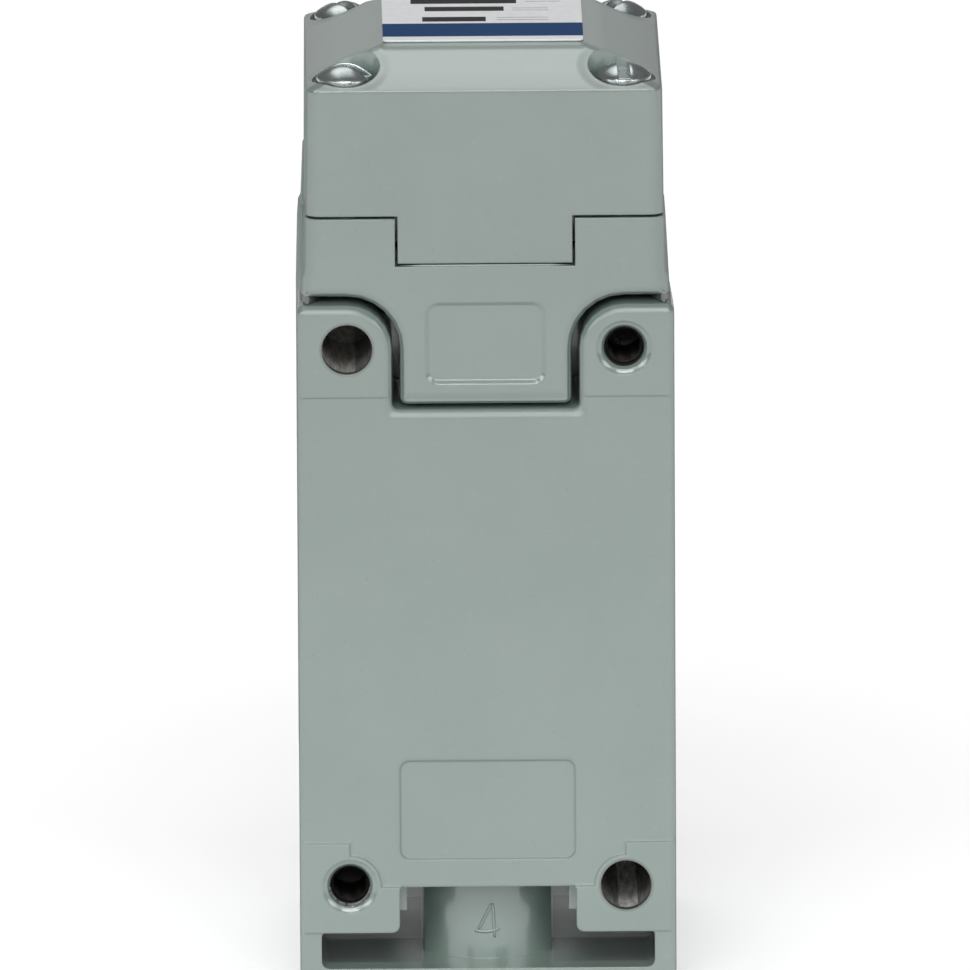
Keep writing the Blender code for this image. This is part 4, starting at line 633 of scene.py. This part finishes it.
def slotted_head(node, origin, axis, turn, radius, height, rim, slot_width, slot_depth):
    """A domed screw head with a slot.

    The top is a height over the plane: rim plus a dome that falls with the square of the
    distance from the middle. Inside the slot the height is the slot's floor. The rows run
    across the slot, and each row goes over the top and back along the underside.
    """
    half = slot_width / 2
    round_off = SLOT_ROUNDING
    outside = radius * np.sin(np.linspace(0.999, 0.0, 15) * math.pi / 2)
    flank = outside[outside > half + round_off * 2]
    inner = np.array([half + round_off, half + round_off * 0.3, half, half, half - round_off])
    kind = np.concatenate([np.zeros(len(flank)), [0, 0.3, 1, 2, 2]])
    flank = np.concatenate([flank, inner])
    across = np.concatenate([-flank, [0.0], flank[::-1]])
    kind = np.concatenate([kind, [2], kind[::-1]])
    over = np.sin(np.linspace(-1, 1, 27) * math.pi / 2)[None, :]
    reach = np.sqrt(np.maximum(radius**2 - across**2, 0))[:, None]
    along = over * reach
    distance = (across[:, None] ** 2 + along**2) / radius**2
    dome = rim + (height - rim) * (1 - distance)
    dome -= round_off * np.exp(-((1 - np.sqrt(distance)) * radius / round_off))
    floor = np.minimum(dome, height - slot_depth)
    step = kind[:, None]
    top = np.where(step >= 2, floor, dome - round_off * np.clip(step, 0, 1))
    flat = np.zeros_like(top)
    xs = np.concatenate([across[:, None] + 0 * along, (across[:, None] + 0 * along)[:, ::-1]], 1)
    ys = np.concatenate([along, along[:, ::-1]], 1)
    zs = np.concatenate([top, flat], 1)
    local = np.stack([xs, ys, zs], -1)
    spin = np.array(Matrix.Rotation(math.radians(turn), 3, "Z"))
    lay = np.array(Vector(axis).to_track_quat("Z", "Y").to_matrix())
    points = local @ spin.T @ lay.T + np.array(origin)
    return piece(node + "_head", points, capped(len(across), local.shape[1]), node, sharp=40)


def thread(name, node, centre, sides=40):
    """Thread in a tapped hole: the radius falls and rises once a turn with the depth.

    radius(angle, s) = root - cut * triangle(s / pitch - angle / turn), faded to 0 at both ends.
    """
    steps = int(THREAD_LENGTH / THREAD_PITCH * 8) + 1
    s = np.linspace(0, THREAD_LENGTH, steps)[:, None]
    angle = np.linspace(0, TURN, sides, endpoint=False)[None, :]
    phase = (s / THREAD_PITCH - angle / TURN) % 1.0
    ridge = 1 - np.abs(2 * phase - 1)
    fade = np.clip(np.minimum(s, THREAD_LENGTH - s) / (THREAD_PITCH * 0.7), 0, 1)
    y = -(THREAD_START + s + 0 * angle)

    def rings(r):
        return np.stack([centre[0] + r * np.cos(angle), y, centre[1] + r * np.sin(angle)], -1)

    crests = rings(THREAD_ROOT - THREAD_CUT * ridge * fade)
    backs = rings(THREAD_ROOT + THREAD_WALL + 0 * s)
    both = np.concatenate([crests, backs[::-1]])
    faces = grid_faces(len(both), sides, wrap_rows=True)
    return piece(name, both, faces, node, finish="thread_painted_shade", sharp=50)


def build_castings():
    casting("receptacle")
    casting("switch_body")
    casting("head_housing")


def build_springs():
    """The two coil springs, as merged copies of their CAD nodes with meshes of their own."""
    for node, joint in (("return_spring", "plunger_stroke"), ("contact_spring", "carrier_stroke")):
        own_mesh(casting(node))


def build_shank(node, origin, axis, bevel_start, end, tip_radius):
    """A plain shank from the underside of a screw's head to its bevelled end."""
    profile = [(0, 0), (SHANK_RADIUS, 0), (SHANK_RADIUS, bevel_start), (tip_radius, end), (0, end)]
    shank = turned(node + "_shank", profile, origin, axis, node)
    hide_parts(node)


def build_head_screws():
    """Four slotted pan heads, each turned as it came to rest."""
    turns = {(1, 1): 65, (-1, 1): 4, (1, -1): 38, (-1, -1): -35}
    height = 0.0021
    for number in range(1, 5):
        node = f"head_screw_{number}"
        low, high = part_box(node)
        centre = (low + high) / 2
        origin = (centre.x, centre.y, high.z - height)
        corner = (1 if centre.x > 0 else -1, 1 if centre.y > -HEAD_AXIS_DEPTH else -1)
        head = slotted_head(
            node,
            origin,
            axis=(0, 0, 1),
            turn=turns[corner],
            radius=(high.x - low.x) / 2,
            height=height,
            rim=0.0008,
            slot_width=0.0013,
            slot_depth=0.0012,
        )
        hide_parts(node)
        end = low.z - origin[2]
        build_shank(node, origin, (0, 0, 1), end + 0.0003, end, 0.0016)


def build_body_screws():
    """Two slotted heads in the front of the switch body."""
    height = 0.0024
    for number, turn in ((1, 20), (2, -48)):
        node = f"body_screw_{number}"
        low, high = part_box(node)
        centre = (low + high) / 2
        origin = (centre.x, low.y + height, centre.z)
        head = slotted_head(
            node,
            origin,
            axis=(0, -1, 0),
            turn=turn,
            radius=(high.x - low.x) / 2,
            height=height,
            rim=0.0014,
            slot_width=0.0012,
            slot_depth=0.0011,
        )
        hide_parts(node)
        end = high.y - origin[1]
        build_shank(node, origin, (0, 1, 0), end - 0.0004, end, 0.0015)


def build_shaft():
    """The shaft: radius(angle, depth) is its turned profile less the serrations near the tip."""
    low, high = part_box("actuator_shaft")
    tip, tail = -low.y, -high.y
    cut_end = tip - SERRATED_LENGTH
    stations = np.array(
        [
            (tail, 0.0),
            (tail, 0.0026),
            (tail + 0.0004, JOURNAL_RADIUS),
            (0.0135, JOURNAL_RADIUS),
            (0.0138, SHAFT_RADIUS),
            (0.0290, SHAFT_RADIUS),
            (cut_end - 0.0006, SHAFT_RADIUS),
            (cut_end - 0.0001, SHAFT_RADIUS),
            (cut_end + 0.0005, 0.0039),
            (cut_end + 0.0009, SHAFT_RADIUS),
            (tip - 0.0011, SHAFT_RADIUS),
            (tip - 0.0004, 0.0037),
            (tip, 0.0033),
            (tip, 0.0012),
            (tip - 0.0006, 0.0005),
            (tip - 0.0007, 0.0),
        ]
    )
    sides = SERRATIONS * 8
    angle = np.linspace(0, TURN, sides, endpoint=False)[None, :]
    depth, radius = stations[:, 0, None], stations[:, 1, None]
    tooth = 1 - np.abs(((angle / TURN * SERRATIONS) % 1.0) * 2 - 1)
    cut = np.clip((depth - cut_end - 0.0004) / 0.0005, 0, 1) * (radius > 0.0025)
    r = radius - SERRATION_CUT * tooth * cut
    points = np.stack([r * np.cos(angle), -depth + 0 * angle, SHAFT_Z + r * np.sin(angle)], -1)
    faces = grid_faces(len(stations), sides)
    shaft = piece("serrated_shaft", points, faces, "actuator_shaft", sharp=32)
    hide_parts("actuator_shaft")


def build_label():
    """The label as a thin plate: a rounded square carried up its thickness."""
    low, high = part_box("label")
    middle = (low + high) / 2
    angle = np.linspace(0, TURN, 64, endpoint=False) + TURN / 128
    corner_x = np.sign(np.cos(angle)) * ((high.x - low.x) / 2 - LABEL_CORNER)
    corner_y = np.sign(np.sin(angle)) * ((high.y - low.y) / 2 - LABEL_CORNER)
    rings = []
    for level, inset in ((low.z, 0.0), (high.z - LABEL_BEVEL, 0.0), (high.z, LABEL_BEVEL)):
        r = LABEL_CORNER - inset
        xs = middle.x + corner_x + r * np.cos(angle)
        ys = middle.y + corner_y + r * np.sin(angle)
        rings.append(np.stack([xs, ys, level + 0 * angle], -1))
    plate = piece("label_plate", np.stack(rings), capped(len(rings), len(angle)), "label", sharp=25)
    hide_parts("label")


def build_casting_digit():
    """A raised 4 on the boss: half-round strokes that follow the boss's round face."""
    t = np.linspace(0, 2, 25)
    thickness = DIGIT_RADIUS * np.sqrt(np.clip(1 - np.abs(t - 1) ** 8, 0, 1))
    for number, stroke in enumerate(DIGIT_STROKES, 1):
        corners = np.array(stroke)
        xs = np.interp(t, [0, 1, 2], corners[:, 0])
        zs = np.interp(t, [0, 1, 2], corners[:, 1])
        face = BOSS_FACE_DEPTH + BOSS_RADIUS - np.sqrt(BOSS_RADIUS**2 - xs**2)
        path = np.stack([xs, -(face + 0.00003), zs], -1)
        tube(f"casting_digit_stroke_{number}", path, thickness, "receptacle", 12)


def build_gap_webs():
    """Webs that close the gap over the ears at the sides.

    Their face sinks as the square of the way in, so the gap fades in from the side.
    """
    way = np.linspace(0, 1, 13)
    face = -0.0006 - 0.0050 * way**2
    section = [
        (0, GAP_WEB_LOW),
        (0, GAP_WEB_HIGH),
        (GAP_WEB_THICKNESS, GAP_WEB_HIGH),
        (GAP_WEB_THICKNESS, GAP_WEB_LOW),
    ]
    for side, name in ((1, "left"), (-1, "right")):
        x = side * (GAP_WEB_OUTER - GAP_WEB_LENGTH * way)
        points = np.stack([np.stack([x, face - back, z + 0 * x], -1) for back, z in section], 1)
        piece(f"gap_web_{name}", points, capped(len(way), len(section)), "switch_body", sharp=50)


def build_tab_seat():
    """The rounded edge under the head's tab: a thin bead along the floor of its notch."""
    x = np.linspace(-TAB_SEAT_HALF, TAB_SEAT_HALF, 9)
    path = np.stack([x, 0 * x - TAB_SEAT_DEPTH, 0 * x + TAB_SEAT_Z], -1)
    radius = TAB_SEAT_RADIUS * np.array([0, *[1] * 7, 0])
    tube("tab_seat_edge", path, radius, "switch_body", 10)


def build_threads():
    thread("thread_upper", "receptacle", (-HOLE_X, HOLE_Z))
    thread("thread_lower", "receptacle", (HOLE_X, -HOLE_Z))


def dress_frame():
    for name, obj in NODES.items():
        dress(obj, SLOT_OF[name])


def add_floor():
    """A wide pale floor that shows white to the camera and in gloss, and keeps the soft shadow."""
    mesh = bpy.data.meshes.new("floor")
    corners = [(-1, -1), (1, -1), (1, 1), (-1, 1)]
    points = [(x * FLOOR_HALF, y * FLOOR_HALF, FLOOR_Z) for x, y in corners]
    mesh.from_pydata(points, [], [(0, 1, 2, 3)])
    floor = bpy.data.objects.new("floor", mesh)
    SCENE.collection.objects.link(floor)
    pale = Finish("pale_floor", Roughness=0.9, Specular_IOR_Level=0.0, Emission_Strength=1.0)
    rays = ("Is Camera Ray", "Is Glossy Ray", "Is Transmission Ray")
    camera, glossy, through = [pale.node("LightPath", output=ray) for ray in rays]
    seen = camera.most(glossy).most(through)
    pale.feed(
        Base_Color=pale.mix(seen, (0.72, 0.72, 0.72), (0.95, 0.95, 0.95)),
        Emission_Color=pale.mix(seen, (0, 0, 0), (0.36, 0.36, 0.36)),
    )
    mesh.materials.append(pale.material)


def add_light(name, azimuth, elevation, width, height, radiance):
    """A soft lamp of even radiance that looks at the object. Azimuth 0 is on the +Y side."""
    lamp = bpy.data.lights.new(name, "AREA")
    lamp.shape = "RECTANGLE"
    lamp.size = width
    lamp.size_y = height
    lamp.energy = radiance * math.pi * width * height
    obj = bpy.data.objects.new(name, lamp)
    a, e = math.radians(azimuth), math.radians(elevation)
    away = Vector((math.sin(a) * math.cos(e), math.cos(a) * math.cos(e), math.sin(e)))
    obj.location = AIM + away * LAMP_DISTANCE
    obj.rotation_euler = away.to_track_quat("Z", "Y").to_euler()
    SCENE.collection.objects.link(obj)


def add_world():
    """Even grey light from all round, which the camera sees as white."""
    world = bpy.data.worlds.new("studio")
    SCENE.world = world
    world.use_nodes = True
    tree = world.node_tree
    background = tree.nodes["Background"]
    background.inputs["Color"].default_value = (1, 1, 1, 1)
    path = tree.nodes.new("ShaderNodeLightPath")
    switch = tree.nodes.new("ShaderNodeMapRange")
    switch.inputs["To Min"].default_value = WORLD_STRENGTH
    switch.inputs["To Max"].default_value = 1.0
    tree.links.new(path.outputs["Is Camera Ray"], switch.inputs["Value"])
    tree.links.new(switch.outputs["Result"], background.inputs["Strength"])


def add_camera():
    data = bpy.data.cameras.new("camera")
    camera = bpy.data.objects.new("camera", data)
    SCENE.collection.objects.link(camera)
    data.lens = CAMERA_LENS
    data.sensor_width = SENSOR
    data.clip_end = 20
    e, a = math.radians(CAMERA_ELEVATION), math.radians(CAMERA_YAW)
    back = Vector((math.sin(a) * math.cos(e), math.cos(a) * math.cos(e), math.sin(e)))
    camera.location = AIM + back * CAMERA_DISTANCE
    look = back.to_track_quat("Z", "Y")
    roll = Euler((0, 0, math.radians(CAMERA_ROLL))).to_quaternion()
    camera.rotation_euler = (look @ roll).to_euler()
    SCENE.camera = camera


dress_frame()
build_castings()
build_springs()
build_head_screws()
build_body_screws()
build_shaft()
build_label()
build_casting_digit()
build_gap_webs()
build_tab_seat()
build_threads()
add_floor()
for lamp in LAMPS:
    add_light(*lamp)
add_world()
add_camera()
SCENE.view_settings.view_transform = "Standard"
